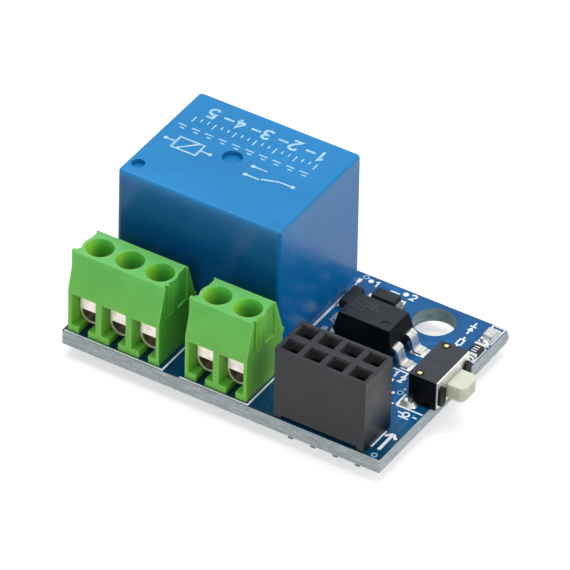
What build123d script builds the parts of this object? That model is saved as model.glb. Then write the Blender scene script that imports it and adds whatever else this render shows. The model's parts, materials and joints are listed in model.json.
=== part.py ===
from build123d import *
import os
from math import atan, degrees, hypot

os.makedirs("parts", exist_ok=True)

# All sizes in millimetres. Places on the board are measured from the front
# left corner of its top face: x along the front edge, y to the back, z up.

# Board
board_length = 36.6
board_width = 24.1
board_thickness = 1.6
board_corner_radius = 0.15
mount_hole_radius = 2.2
mount_hole_from_diode = 5.53
mount_hole_from_back = 2.84
via_radius = 0.17
via_ring_radius = 0.36
via_from_switch = 1.27
via_from_switch_front = 0.63
via_from_relay = 0.52
via_from_back = 0.48
via_from_right = 0.85
via_from_front = 0.42

# Through pins, pads and solder
pin_stickout = 1.4
pin_hole_clearance = 0.1
pad_ring_width = 0.45
solder_cover = 0.9
pad_thickness = 0.04
solder_height = 0.9
solder_top_ring = 0.12
seat_gap = 0.02

# Printed lines on the board
print_thickness = 0.03
print_line = 0.2
print_fine_line = 0.14
print_edge_gap = 0.07
print_part_gap = 0.2
relay_line_start = 6.82
relay_line_thick = 1.62
relay_line_end = 0.97
relay_line_thick_factor = 2.1
arrow_line = 0.34
arrow_barb = 0.62
arrow_barb_factor = 1.4
arrow_from_right = 0.94
arrow_front = 1.34
arrow_back = 3.95
socket_line_gap = 0.12
socket_line_front = 1.34
socket_line_back = 4.15
output_line_gap = 0.55
supply_line_left_gap = 0.45
supply_line_right_gap = 0.3
switch_line_left_gap = 0.55
switch_line_front_gap = 1.15
switch_line_rise = 0.9
opto_mark_left = 3.8
opto_mark_right = 5.45
opto_mark_reach = 1.8
opto_mark_gap = 0.13
diode_mark_left = 0.95
diode_mark_right = 1.5
diode_mark_front = 0.5
diode_mark_back = 1.2
chip_line_from_right = 0.16
chip_line_reach = 1.0
resistor_line_left = 0.75
resistor_line_front = 1.45
lamp_line_left = 0.55
lamp_line_back = 1.8

# Relay
relay_x = 1.2
relay_terminal_gap = 0.61
relay_length = 18.9
relay_width = 15.3
relay_height = 15.5
relay_draft = 0.1
relay_edge_radius = 0.55
relay_top_round = 0.35
relay_wall = 0.7
relay_top_wall = 0.8
relay_vent_x = 1.34
relay_vent_y = 1.92
relay_vent_radius = 0.7
relay_vent_depth = 0.5
relay_gate_radius = 1.05
relay_gate_depth = 0.08
relay_gate_left = 0.95
relay_gate_back = 0.15
relay_base_bottom = 0.4
relay_base_thickness = 1.2
relay_foot = 1.2
relay_common_inset = 1.9
relay_coil_pitch = 1.95
relay_contact_inset = 2.8
relay_pin_inset = 1.7
relay_blade_thickness = 0.5
relay_blade_width = 1.0
relay_coil_pin = 0.6
relay_coil_pin_top = 4.9
yoke_thickness = 1.2
yoke_width = 9.0
yoke_bottom = 2.4
yoke_foot_length = 9.4
core_radius = 1.8
core_gap = 0.35
core_head_radius = 2.6
core_head_thickness = 0.8
bobbin_flange = 0.8
bobbin_tube_wall = 0.5
bobbin_half_width = 5.0
bobbin_lip = 0.2
bobbin_yoke_gap = 0.1
winding_radius = 4.4
coil_ear_inward = 1.55
coil_ear_outward = 0.75
coil_ear_margin = 0.6
coil_ear_root = 0.25
relay_headroom = 0.35
armature_thickness = 1.1
armature_width = 8.0
armature_reach = 9.0
leaf_thickness = 0.15
leaf_width = 6.0
leaf_drop = 6.0
leaf_outside_gap = 0.15
contact_button_radius = 1.2
contact_button_height = 0.4
contact_travel = 0.6
contact_rest_gap = 0.03
fixed_button_height = 0.35
contact_blade = 0.4
contact_tongue_width = 2.4
contact_offset = 0.8

# Screw terminals
terminal_pitch = 3.5
terminal_side_extra = 0.05
output_ways = 3
supply_ways = 2
output_block_x = 0.45
block_gap = 3.0
terminal_front = 0.42
terminal_back = 6.95
terminal_height = 9.0
terminal_shoulder = 4.65
terminal_slope_start_y = 0.58
terminal_slope_start_z = 5.7
terminal_top_front = 1.5
terminal_top_back = 5.6
terminal_bend_share = 0.22
terminal_lug_bottom = 4.3
terminal_lug_top = 4.9
terminal_lug_depth = 0.22
terminal_rib_out = 0.36
terminal_rib_depth = 0.45
terminal_rib_y = 1.6
terminal_groove_bottom = 5.1
terminal_groove_depth = 0.25
terminal_side_recess = 0.2
terminal_recess_wall = 0.25
terminal_recess_end = 0.1
terminal_rib_root = 0.4
terminal_rib_gap = 0.03
entry_width = 2.85
entry_sill = 0.8
entry_slot = 1.1
cage_outer_width = 2.6
cage_wall = 0.25
cage_pin_root = 0.175
cage_front = 1.9
cage_back = 5.3
cage_bottom = 0.6
cage_top = 4.9
cage_thread_thickness = 1.0
cage_clearance = 0.06
cage_floor_gap = 0.05
cage_roof_gap = 0.03
cage_end_gap = 0.1
cage_pin_width = 0.9
cage_pin_depth = 0.7
screw_y = 3.38
screw_head_radius = 1.3
screw_hole_radius = 1.46
screw_head_height = 0.8
screw_head_top = 6.7
screw_shank_side_gap = 0.07
screw_shank_below = 0.2
screw_head_chamfer = 0.12
screw_thread_clearance = 0.04
screw_slot_width = 0.42
screw_slot_depth = 0.45
clamp_leaf_thickness = 0.3
clamp_leaf_side_gap = 0.08
clamp_lip_width = 2.0
clamp_lip_front = 1.45
clamp_lip_bottom = 2.45
clamp_tail_length = 1.0

# Module socket
socket_from_right = 1.88
socket_y = 0.13
socket_end = 1.34
socket_side = 1.23
socket_height = 8.5
socket_pitch = 2.54
socket_columns = 4
socket_rows = 2
socket_mouth_x = 1.9
socket_mouth_y = 1.8
socket_mouth_depth = 0.9
socket_mouth_inset = 0.47
socket_cavity_x = 1.3
socket_cavity_y = 1.0
socket_cavity_top = 7.2
socket_floor = 0.9
socket_standoff = 0.4
socket_foot = 0.9
contact_tail_x = 0.5
contact_tail_y = 0.3
contact_side_gap = 0.05
contact_root = 0.1
contact_straight = 1.2
contact_width = 0.5
contact_strip = 0.16
contact_half_gap = 0.26
contact_base_height = 0.4
contact_pinch_z = 6.0
contact_flare_z = 6.9

# Optocoupler
opto_from_relay = 6.4
opto_from_back = 8.9
opto_length = 6.5
opto_width = 4.4
opto_parting_z = 2.0
opto_top_z = 3.8
opto_bottom_z = 0.2
opto_taper = 11.5
opto_under_taper = 8.0
opto_lead_width = 1.2
opto_lead_strip = 0.26
opto_lead_reach = 5.1
opto_lead_out = 0.45
opto_land_from_end = 0.45
opto_lead_pitch = 2.54
opto_dot_radius = 0.5
opto_dot_depth = 0.08
opto_dot_inset_x = 1.25
opto_dot_inset_y = 1.15
opto_land_length = 1.6
opto_land_width = 1.5
lead_bend = 0.45
lead_slope = 0.55
small_lead_slope = 0.25

# Transistor, standing lengthwise from front to back
transistor_from_relay = 1.4
transistor_from_back = 4.7
transistor_length = 2.9
transistor_width = 1.3
small_body_top = 1.1
small_body_bottom = 0.12
small_body_parting = 0.62
small_body_taper = 8.0
transistor_lead_width = 0.42
transistor_lead_pitch = 1.9
transistor_lead_reach = 1.2

# Diode, lying along the board
diode_from_transistor = 2.9
diode_from_back = 3.0
diode_length = 2.7
diode_width = 1.5
diode_lead_width = 0.9
diode_lead_reach = 1.95
small_lead_strip = 0.14
small_lead_foot = 0.4
small_lead_shoulder = 0.12
small_lead_bend = 0.1
small_land_side = 0.1
diode_land_length = 0.8
transistor_land_length = 0.6
chip_land_length = 0.6

# Chip resistor and lamp, both lying front to back
chip_from_right = 0.8
resistor_from_back = 4.8
lamp_from_back = 1.95
chip_length = 2.0
chip_width = 1.1
chip_height = 0.45
chip_cap_length = 0.3
chip_cap_wall = 0.03
lamp_base_height = 0.3
lamp_lens_height = 0.35
lamp_lens_length = 1.34
lamp_lens_taper = 8.0

# Side push switch
switch_from_right = 2.45
switch_y = 12.35
switch_width = 6.1
switch_depth = 3.05
switch_height = 3.5
switch_lift = 0.1
switch_wall = 0.7
switch_floor = 0.35
switch_roof = 0.5
switch_foot_length = 1.0
switch_foot_width = 0.8
switch_plate_inset = 0.02
switch_plate_thickness = 0.2
switch_plate_bottom = 0.35
switch_boss_offset = 2.4
switch_boss_width = 1.1
switch_boss_height = 2.2
switch_boss_z = 1.6
switch_boss_out = 0.3
stake_size = 0.4
stake_height = 0.06
stake_inset = 0.9
stake_offset = 2.5
plunger_width = 2.7
plunger_under = 0.3
plunger_over = 0.5
plunger_out = 2.0
plunger_chamfer = 0.45
plunger_fine_chamfer = 0.15
plunger_clearance = 0.06
plunger_flange_width = 3.6
plunger_flange_thickness = 0.5
plunger_flange_gap = 0.03
plunger_flange_below = 0.1
plunger_flange_above = 0.2
dome_gap = 0.04
dome_thickness = 0.08
dome_rise = 0.45
dome_overlap = 0.225
dome_side_inset = 0.3
switch_pin_size = 0.5
switch_pin_root = 0.6
switch_pin_inset = 0.6
switch_pin_out = 0.45
switch_pin_z = 0.9

# Places that follow from the sizes
pin_tip_z = -board_thickness - pin_stickout
relay_y = terminal_back + terminal_lug_depth + relay_terminal_gap
relay_right = relay_x + relay_length
relay_back = relay_y + relay_width
supply_block_x = output_block_x + output_ways * terminal_pitch + 2 * terminal_side_extra + block_gap
transistor_x = relay_right + transistor_from_relay
transistor_y = board_width - transistor_from_back
diode_x = transistor_x + diode_from_transistor
diode_y = board_width - diode_from_back
opto_x = relay_right + opto_from_relay
opto_y = board_width - opto_from_back
mount_hole_x = diode_x + mount_hole_from_diode
mount_hole_y = board_width - mount_hole_from_back
chip_x = board_length - chip_from_right
resistor_y = board_width - resistor_from_back
lamp_y = board_width - lamp_from_back
socket_length = (socket_columns - 1) * socket_pitch + 2 * socket_end
socket_width = (socket_rows - 1) * socket_pitch + 2 * socket_side
socket_x = board_length - socket_from_right - socket_length
switch_x = board_length - switch_from_right
switch_front = switch_y - switch_width / 2
switch_back = switch_y + switch_width / 2
switch_face = switch_x + switch_depth
switch_plate_face = switch_face + switch_plate_thickness
switch_cavity_bottom = switch_lift + switch_floor
switch_cavity_top = switch_height - switch_roof
switch_pin_x = switch_x + switch_pin_inset
plunger_bottom = switch_cavity_bottom + plunger_under
plunger_top = switch_cavity_top - plunger_over
plunger_middle_z = (plunger_bottom + plunger_top) / 2
plunger_tip_x = switch_plate_face + plunger_out
via_places = [
    (switch_x - via_from_switch, switch_front + via_from_switch_front),
    (relay_right + via_from_relay, board_width - via_from_back),
    (board_length - via_from_right, via_from_front),
]
place = Pos(-plunger_tip_x / 2, -board_width / 2, -pin_tip_z)


def block(x0, x1, y0, y1, z0, z1):
    """A box given by its low and high sides."""
    return Pos((x0 + x1) / 2, (y0 + y1) / 2, (z0 + z1) / 2) * Box(x1 - x0, y1 - y0, z1 - z0)


def pin_box(x, y, size_x, size_y, z0, z1):
    """A standing square pin centred at x, y."""
    return block(x - size_x / 2, x + size_x / 2, y - size_y / 2, y + size_y / 2, z0, z1)


def upright(x, y, z0, z1, radius):
    """A standing cylinder."""
    return Pos(x, y, (z0 + z1) / 2) * Cylinder(radius, z1 - z0)


def slab(x, y, z, length, width, height, radius=0.0, taper=0.0):
    """A rounded rectangle centred at x, y that rises (or falls) from z."""
    outline = RectangleRounded(length, width, radius) if radius else Rectangle(length, width)
    return Pos(x, y, z) * extrude(outline, height, taper=taper)


def prism_y(points, y0, y1):
    """A solid with an outline of (x, z) points, running from y0 to y1."""
    face = make_face(Polyline(*[(x, y0, z) for x, z in points], close=True))
    return extrude(face, amount=y1 - y0, dir=(0, 1, 0))


def strip_y(points, bend, strip, width):
    """A bent metal strip: (x, z) points of its centre line, width across y."""
    centre_line = FilletPolyline(*points, radius=bend)
    outline = trace(centre_line, line_width=strip)
    return extrude(Plane.XZ * outline, amount=width / 2, both=True)


def group(shapes):
    """Separate solids kept together."""
    return Compound(children=[solid for shape in shapes for solid in shape.solids()])


def save(shape, name):
    export_step(place * shape, f"parts/{name}.step")


# Places of the repeated parts

def way_places(block_x, ways):
    """x of each way of a terminal block."""
    return [block_x + terminal_side_extra + terminal_pitch * (i + 0.5) for i in range(ways)]


def socket_places():
    """x and y of each contact of the module socket."""
    centre_x = socket_x + socket_length / 2
    centre_y = socket_y + socket_width / 2
    return [
        (centre_x + socket_pitch * (i - (socket_columns - 1) / 2),
         centre_y + socket_pitch * (j - (socket_rows - 1) / 2))
        for j in range(socket_rows)
        for i in range(socket_columns)
    ]


relay_middle_y = relay_y + relay_width / 2
relay_common_x = relay_right - relay_common_inset
relay_coil_x = relay_common_x - relay_coil_pitch
relay_contact_x = relay_x + relay_contact_inset
relay_pin_half_span = relay_width / 2 - relay_pin_inset
terminal_ways = way_places(output_block_x, output_ways) + way_places(supply_block_x, supply_ways)
switch_pin_y = [switch_front - switch_pin_out, switch_back + switch_pin_out]

# Every pin that goes through the board: x, y, size along x, size along y
relay_coil_pin_places = [(relay_coil_x, relay_middle_y + side * relay_pin_half_span,
                          relay_coil_pin, relay_coil_pin) for side in (-1, 1)]
relay_pins = (
    [(relay_common_x, relay_middle_y, relay_blade_thickness, relay_blade_width)]
    + relay_coil_pin_places
    + [(relay_contact_x, relay_middle_y + side * relay_pin_half_span,
        relay_blade_width, relay_blade_thickness) for side in (-1, 1)]
)
through_pins = (
    relay_pins
    + [(x, screw_y, cage_pin_width, cage_pin_depth) for x in terminal_ways]
    + [(x, y, contact_tail_x, contact_tail_y) for x, y in socket_places()]
    + [(switch_pin_x, y, switch_pin_size, switch_pin_size) for y in switch_pin_y]
)


def pin_hole_radius(size_x, size_y):
    return hypot(size_x, size_y) / 2 + pin_hole_clearance


# Board, pads, solder and print

def circuit_board():
    board = slab(board_length / 2, board_width / 2, -board_thickness,
                 board_length, board_width, board_thickness, board_corner_radius)
    holes = [upright(mount_hole_x, mount_hole_y, -board_thickness, 0, mount_hole_radius)]
    holes += [upright(x, y, -board_thickness, 0, via_radius) for x, y in via_places]
    holes += [upright(x, y, -board_thickness, 0, pin_hole_radius(sx, sy))
              for x, y, sx, sy in through_pins]
    return board - holes


def ring(x, y, z0, z1, outer, inner):
    return upright(x, y, z0, z1, outer) - upright(x, y, z0, z1, inner)


def solder_pads():
    """Tinned rings round the pins below, and round the vias and switch pins above."""
    under = [ring(x, y, -board_thickness - pad_thickness, -board_thickness,
                  pin_hole_radius(sx, sy) + pad_ring_width, pin_hole_radius(sx, sy))
             for x, y, sx, sy in through_pins]
    vias = [ring(x, y, 0, pad_thickness, via_ring_radius, via_radius) for x, y in via_places]
    lands = [slab(x, y, 0, length, width, pad_thickness) for x, y, length, width in land_places()]
    return group(under + vias + lands)


def land_places():
    """Flat solder lands under the surface parts: x, y, length, width."""
    half_opto = opto_lead_reach - opto_land_from_end
    half_diode = diode_lead_reach - small_lead_foot / 2
    half_transistor = transistor_lead_reach - small_lead_foot / 2
    lands = [(opto_x + side * half_opto, opto_y + row * opto_lead_pitch / 2,
              opto_land_length, opto_land_width) for side in (-1, 1) for row in (-1, 1)]
    lands += [(diode_x + side * half_diode, diode_y, diode_land_length,
               diode_lead_width + small_land_side) for side in (-1, 1)]
    lands += [(transistor_x + side * half_transistor, y, transistor_land_length,
               transistor_lead_width + 2 * small_land_side) for side, y in transistor_lead_places()]
    lands += [(chip_x, y + side * chip_length / 2, chip_width, chip_land_length)
              for y in (resistor_y, lamp_y) for side in (-1, 1)]
    return lands


def solder_joints():
    """A cone of solder round each pin on the underside."""
    joints = []
    top = -board_thickness - pad_thickness
    for x, y, sx, sy in through_pins:
        wide = pin_hole_radius(sx, sy) + pad_ring_width * solder_cover
        narrow = hypot(sx, sy) / 2 + solder_top_ring
        cone = Pos(x, y, top - solder_height / 2) * Cone(narrow, wide, solder_height)
        joints.append(cone - block(x - sx / 2, x + sx / 2, y - sy / 2, y + sy / 2, pin_tip_z, 0))
    return group(joints)


def line_x(x0, x1, y, width=print_line):
    return block(x0, x1, y - width / 2, y + width / 2, 0, print_thickness)


def line_y(x, y0, y1, width=print_line):
    return block(x - width / 2, x + width / 2, y0, y1, 0, print_thickness)


def corner(x0, x1, y0, y1, line_at_x, line_at_y, width=print_line):
    """Two printed lines that meet in a corner of the field from x0 to x1 and y0 to y1."""
    return line_x(x0, x1, line_at_y, width) + line_y(line_at_x, y0, y1, width)


def arrow(x, y0, y1):
    """A printed arrow that points to the back."""
    shaft = line_y(x, y0, y1, arrow_line)
    barbs = [Pos(x + side * arrow_barb / 2, y1 - arrow_barb / 2 + arrow_line / 2, print_thickness / 2)
             * Rot(0, 0, side * 45)
             * Box(arrow_line, arrow_barb * arrow_barb_factor, print_thickness)
             for side in (-1, 1)]
    return shaft + barbs


def block_outline(left, right):
    """The front and right lines round a terminal block."""
    front = print_edge_gap + print_line / 2
    return corner(left, right, print_edge_gap, relay_y - print_part_gap, right, front)


def relay_outline():
    """The line along the relay's right side, thicker at its back end."""
    x = relay_right + print_part_gap
    thick_from = board_width - relay_line_thick
    return (line_y(x, board_width - relay_line_start, thick_from)
            + line_y(x, thick_from, board_width - relay_line_end,
                     relay_line_thick_factor * print_line))


def switch_outline():
    """The corner in front of the switch."""
    x = switch_x - switch_line_left_gap
    y = switch_front - switch_line_front_gap
    half = print_line / 2
    return corner(x, board_length - half, y - half, y + switch_line_rise, x, y)


def chip_outline(part_y, side, left, distance):
    """A fine line across one end of a chip part, and one between it and the board's right edge."""
    x = board_length - chip_line_from_right
    y = part_y + side * distance
    half = print_fine_line / 2
    low, high = sorted((part_y - side * chip_line_reach, y + side * half))
    return corner(chip_x - left, x + half, low, high, x, y, print_fine_line)


def board_print():
    """White outlines round the parts and an arrow beside the socket."""
    output_right = output_block_x + output_ways * terminal_pitch + 2 * terminal_side_extra
    supply_right = supply_block_x + supply_ways * terminal_pitch + 2 * terminal_side_extra
    opto_front = opto_y - opto_width / 2
    half = print_line / 2
    marks = [
        block_outline(print_line, output_right + output_line_gap),
        block_outline(supply_block_x - supply_line_left_gap, supply_right + supply_line_right_gap),
        relay_outline(),
        line_y(socket_x + socket_length + socket_line_gap, socket_line_front, socket_line_back),
        arrow(board_length - arrow_from_right, arrow_front, arrow_back),
        switch_outline(),
        corner(opto_x + opto_mark_left, opto_x + opto_mark_right,
               opto_front - opto_mark_reach, opto_front - opto_mark_gap + half,
               opto_x + opto_mark_right, opto_front - opto_mark_gap),
        corner(diode_x + diode_mark_left, diode_x + diode_mark_right + half,
               diode_y + diode_mark_front, diode_y + diode_mark_back + half,
               diode_x + diode_mark_right, diode_y + diode_mark_back),
        chip_outline(resistor_y, -1, resistor_line_left, resistor_line_front),
        chip_outline(lamp_y, 1, lamp_line_left, lamp_line_back),
    ]
    return group(marks)


# Relay

relay_inner_left = relay_x + relay_wall
relay_inner_right = relay_right - relay_wall
relay_inner_front = relay_y + relay_wall
relay_inner_back = relay_back - relay_wall
relay_roof = relay_height - relay_top_wall
relay_base_top = relay_base_bottom + relay_base_thickness
yoke_outer_x = relay_common_x + relay_blade_thickness / 2
yoke_inner_x = yoke_outer_x - yoke_thickness
bobbin_half_length = winding_radius + bobbin_lip
core_x = yoke_inner_x - bobbin_yoke_gap - bobbin_half_length
contact_stack = (seat_gap + armature_thickness + leaf_thickness + contact_button_height
                 + contact_rest_gap + fixed_button_height + contact_blade)
yoke_top = relay_roof - relay_headroom - contact_stack
armature_bottom = yoke_top + seat_gap
armature_top = armature_bottom + armature_thickness
core_top = armature_bottom - core_gap
leaf_top = armature_top + leaf_thickness
contact_x = relay_contact_x + contact_offset


def relay_cover():
    """Moulded box, open below, with a rounded top edge and a vent pit."""
    middle_x = relay_x + relay_length / 2
    draft_angle = degrees(atan(relay_draft / relay_height))
    shell = slab(middle_x, relay_middle_y, 0, relay_length, relay_width, relay_height,
                 relay_edge_radius, draft_angle)
    shell = fillet(shell.faces().sort_by(Axis.Z)[-1].edges(), relay_top_round)
    inside = block(relay_inner_left, relay_inner_right, relay_inner_front, relay_inner_back,
                   0, relay_roof)
    vent = upright(relay_x + relay_vent_x, relay_y + relay_vent_y,
                   relay_height - relay_vent_depth, relay_height, relay_vent_radius)
    gate = upright(middle_x - relay_gate_left, relay_middle_y + relay_gate_back,
                   relay_height - relay_gate_depth, relay_height, relay_gate_radius)
    return shell - inside - vent - gate


def relay_base():
    """Floor of the relay, with feet, a seat for the yoke and a slot for each pin."""
    plate = block(relay_inner_left, relay_inner_right, relay_inner_front, relay_inner_back,
                  relay_base_bottom, relay_base_top)
    feet = [block(x, x + relay_foot, y, y + relay_foot, 0, relay_base_bottom)
            for x in (relay_inner_left, relay_inner_right - relay_foot)
            for y in (relay_inner_front, relay_inner_back - relay_foot)]
    seat = block(yoke_outer_x - yoke_foot_length, yoke_outer_x - yoke_thickness,
                 relay_middle_y - yoke_width / 2, relay_middle_y + yoke_width / 2,
                 relay_base_top, yoke_bottom)
    slots = [pin_box(x, y, sx, sy, 0, yoke_bottom) for x, y, sx, sy in relay_pins]
    return plate + feet + seat - slots


def relay_yoke():
    """Iron L: a foot under the coil and an upright that carries the armature."""
    foot = block(yoke_outer_x - yoke_foot_length, yoke_outer_x,
                 relay_middle_y - yoke_width / 2, relay_middle_y + yoke_width / 2,
                 yoke_bottom, yoke_bottom + yoke_thickness)
    upright_leg = block(yoke_inner_x, yoke_outer_x,
                        relay_middle_y - yoke_width / 2, relay_middle_y + yoke_width / 2,
                        yoke_bottom, yoke_top)
    rivet_hole = upright(core_x, relay_middle_y, yoke_bottom, yoke_bottom + yoke_thickness,
                         core_radius)
    return foot + upright_leg - rivet_hole


def relay_core():
    """Iron core, riveted in the yoke's foot, with a wide pole face on top."""
    stem = upright(core_x, relay_middle_y, yoke_bottom, core_top, core_radius)
    head = upright(core_x, relay_middle_y, core_top - core_head_thickness, core_top,
                   core_head_radius)
    return stem + head


bobbin_bottom = yoke_bottom + yoke_thickness
bobbin_top = core_top - core_head_thickness
bobbin_tube_radius = core_radius + bobbin_tube_wall


def relay_bobbin():
    """Plastic spool with two ears that hold the coil pins."""
    flanges = [block(core_x - bobbin_half_length, core_x + bobbin_half_length,
                     relay_middle_y - bobbin_half_width, relay_middle_y + bobbin_half_width,
                     z, z + bobbin_flange) for z in (bobbin_bottom, bobbin_top - bobbin_flange)]
    ears = []
    for side in (-1, 1):
        low_y, high_y = sorted((relay_middle_y + side * (bobbin_half_width - coil_ear_root),
                                relay_middle_y + side * (relay_pin_half_span + coil_ear_margin)))
        ears.append(block(relay_coil_x - coil_ear_inward, relay_coil_x + coil_ear_outward,
                          low_y, high_y, bobbin_bottom, bobbin_bottom + bobbin_flange))
    tube = upright(core_x, relay_middle_y, bobbin_bottom, bobbin_top, bobbin_tube_radius)
    bore = upright(core_x, relay_middle_y, bobbin_bottom, bobbin_top, core_radius)
    slots = [pin_box(x, y, sx, sy, bobbin_bottom, bobbin_top)
             for x, y, sx, sy in relay_coil_pin_places]
    return tube + flanges + ears - bore - slots


def relay_coil():
    """The copper winding, as one ring of wire."""
    return ring(core_x, relay_middle_y, bobbin_bottom + bobbin_flange,
                bobbin_top - bobbin_flange, winding_radius, bobbin_tube_radius)


def relay_armature():
    """Iron plate that rocks on the yoke's upper edge."""
    return block(yoke_outer_x - armature_reach, yoke_outer_x,
                 relay_middle_y - armature_width / 2, relay_middle_y + armature_width / 2,
                 armature_bottom, armature_top)


def relay_spring():
    """Bronze leaf on the armature, bent down behind the yoke, drilled for its contact."""
    back_x = yoke_outer_x + leaf_outside_gap
    top = block(contact_x - contact_button_radius, back_x + leaf_thickness,
                relay_middle_y - leaf_width / 2, relay_middle_y + leaf_width / 2,
                armature_top, leaf_top)
    drop = block(back_x, back_x + leaf_thickness,
                 relay_middle_y - leaf_width / 2, relay_middle_y + leaf_width / 2,
                 leaf_top - leaf_drop, leaf_top)
    hole = upright(contact_x, relay_middle_y, armature_top, leaf_top, contact_button_radius / 2)
    return top + drop - hole


def relay_moving_contact():
    """Silver rivet with a button on each side of the leaf."""
    stem = upright(contact_x, relay_middle_y, armature_top, leaf_top, contact_button_radius / 2)
    above = upright(contact_x, relay_middle_y, leaf_top, leaf_top + contact_button_height,
                    contact_button_radius)
    below = upright(contact_x, relay_middle_y, armature_top - contact_button_height, armature_top,
                    contact_button_radius)
    return stem + above + below


def contact_terminal(side, tongue_z, button_z):
    """A pin that rises beside the coil and turns in over (or under) the moving contact."""
    y = relay_middle_y + side * relay_pin_half_span
    half = relay_blade_thickness / 2
    post = block(relay_contact_x - relay_blade_width / 2, relay_contact_x + relay_blade_width / 2,
                 y - half, y + half, pin_tip_z, tongue_z + contact_blade)
    inner_y = relay_middle_y - side * contact_button_radius
    low_y, high_y = sorted((y + side * half, inner_y))
    tongue = block(relay_contact_x - relay_blade_width / 2,
                   contact_x + contact_tongue_width / 2, low_y, high_y,
                   tongue_z, tongue_z + contact_blade)
    low_z, high_z = sorted((button_z, tongue_z if button_z < tongue_z else tongue_z + contact_blade))
    button = upright(contact_x, relay_middle_y, low_z, high_z, contact_button_radius)
    return post + tongue, button


def relay_common_terminal():
    """The pin that is welded under the yoke."""
    return pin_box(relay_common_x, relay_middle_y, relay_blade_thickness, relay_blade_width,
                   pin_tip_z, yoke_bottom)


def relay_coil_pins():
    return group([pin_box(*pin, pin_tip_z, relay_coil_pin_top) for pin in relay_coil_pin_places])


# Screw terminals

def housing_outline(x0):
    """Side view of a terminal block, from the front foot round to the back foot."""
    shoulder = (x0, terminal_front, terminal_shoulder)
    bend = (x0, terminal_front + (terminal_slope_start_y - terminal_front) * terminal_bend_share,
            (terminal_shoulder + terminal_slope_start_z) / 2)
    slope_start = (x0, terminal_slope_start_y, terminal_slope_start_z)
    points = [
        slope_start,
        (x0, terminal_top_front, terminal_height),
        (x0, terminal_top_back, terminal_height),
        (x0, terminal_back, terminal_lug_top),
        (x0, terminal_back + terminal_lug_depth, terminal_lug_top),
        (x0, terminal_back + terminal_lug_depth, terminal_lug_bottom),
        (x0, terminal_back, terminal_lug_bottom),
        (x0, terminal_back, 0),
        (x0, terminal_front, 0),
        shoulder,
    ]
    return make_face(Curve() + [ThreePointArc(shoulder, bend, slope_start), Polyline(*points)])


def terminal_housing(block_x, ways):
    width = ways * terminal_pitch + 2 * terminal_side_extra
    body = extrude(housing_outline(block_x), amount=width, dir=(1, 0, 0))
    cuts = []
    chamber_half = cage_outer_width / 2 + cage_clearance
    for x in way_places(block_x, ways):
        cuts.append(block(x - entry_width / 2, x + entry_width / 2, terminal_front - 1,
                          cage_front - cage_end_gap, entry_sill, terminal_shoulder))
        cuts.append(block(x - entry_slot / 2, x + entry_slot / 2, terminal_front - 1,
                          screw_y + cage_pin_depth / 2 + cage_end_gap, 0, entry_sill))
        cuts.append(block(x - chamber_half, x + chamber_half, cage_front - cage_end_gap,
                          cage_back + clamp_leaf_thickness + 3 * cage_end_gap,
                          cage_bottom - cage_floor_gap, cage_top + cage_roof_gap))
        cuts.append(upright(x, screw_y, cage_top, terminal_height, screw_hole_radius))
    right = block_x + width
    groove_back = terminal_rib_y + terminal_rib_depth
    cuts.append(block(right - terminal_groove_depth, right, terminal_rib_y, groove_back,
                      terminal_groove_bottom, terminal_height))
    for x, low, high in ((way_places(block_x, ways)[-1], right - terminal_side_recess, right),
                         (way_places(block_x, ways)[0], block_x, block_x + terminal_side_recess)):
        boss = upright(x, screw_y, terminal_shoulder, terminal_height,
                       terminal_pitch / 2 + terminal_side_extra)
        cuts.append(block(low, high, groove_back + terminal_recess_wall,
                          terminal_top_back - terminal_recess_end,
                          terminal_groove_bottom, terminal_height) - boss)
    body = body - cuts
    rib_x = block_x - terminal_rib_out
    rib = prism_y([(block_x, terminal_shoulder), (rib_x, terminal_shoulder + terminal_rib_root),
                   (rib_x, terminal_height), (block_x, terminal_height)],
                  terminal_rib_y + terminal_rib_gap, groove_back - terminal_rib_gap)
    return body + rib


def clamp_cage(x):
    """Bent metal cage with a round bottom, a thick threaded top and a solder pin."""
    outer = cage_outer_width / 2
    inner = outer - cage_wall
    axis_z = cage_bottom + outer
    middle_y = (cage_front + cage_back) / 2
    depth = cage_back - cage_front

    def trough(radius, top):
        round_part = Pos(x, middle_y, axis_z) * Rot(90, 0, 0) * Cylinder(radius, depth)
        return round_part + block(x - radius, x + radius, cage_front, cage_back, axis_z, top)

    cage = trough(outer, cage_top) - trough(inner, cage_top - cage_thread_thickness)
    cage -= upright(x, screw_y, cage_top - cage_thread_thickness, cage_top,
                    screw_shank_radius + screw_thread_clearance)
    pin = block(x - cage_pin_width / 2, x + cage_pin_width / 2,
                screw_y - cage_pin_depth / 2, screw_y + cage_pin_depth / 2,
                pin_tip_z, cage_bottom + cage_pin_root)
    return cage + pin


screw_shank_bottom = cage_top - cage_thread_thickness - screw_shank_below
screw_shank_radius = cage_outer_width / 2 - cage_wall - screw_shank_side_gap


def clamp_leaf(x):
    """Strip between the screw and the wire, with a lip in front and a tail behind."""
    half = cage_outer_width / 2 - cage_wall - clamp_leaf_side_gap
    top = screw_shank_bottom - seat_gap
    tail_front = cage_back + cage_end_gap
    plate = block(x - half, x + half, clamp_lip_front, tail_front + clamp_leaf_thickness,
                  top - clamp_leaf_thickness, top)
    lip = block(x - clamp_lip_width / 2, x + clamp_lip_width / 2, clamp_lip_front,
                clamp_lip_front + clamp_leaf_thickness, clamp_lip_bottom, top)
    tail = block(x - half, x + half, tail_front, tail_front + clamp_leaf_thickness,
                 top - clamp_tail_length, top)
    return plate + lip + tail


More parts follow.
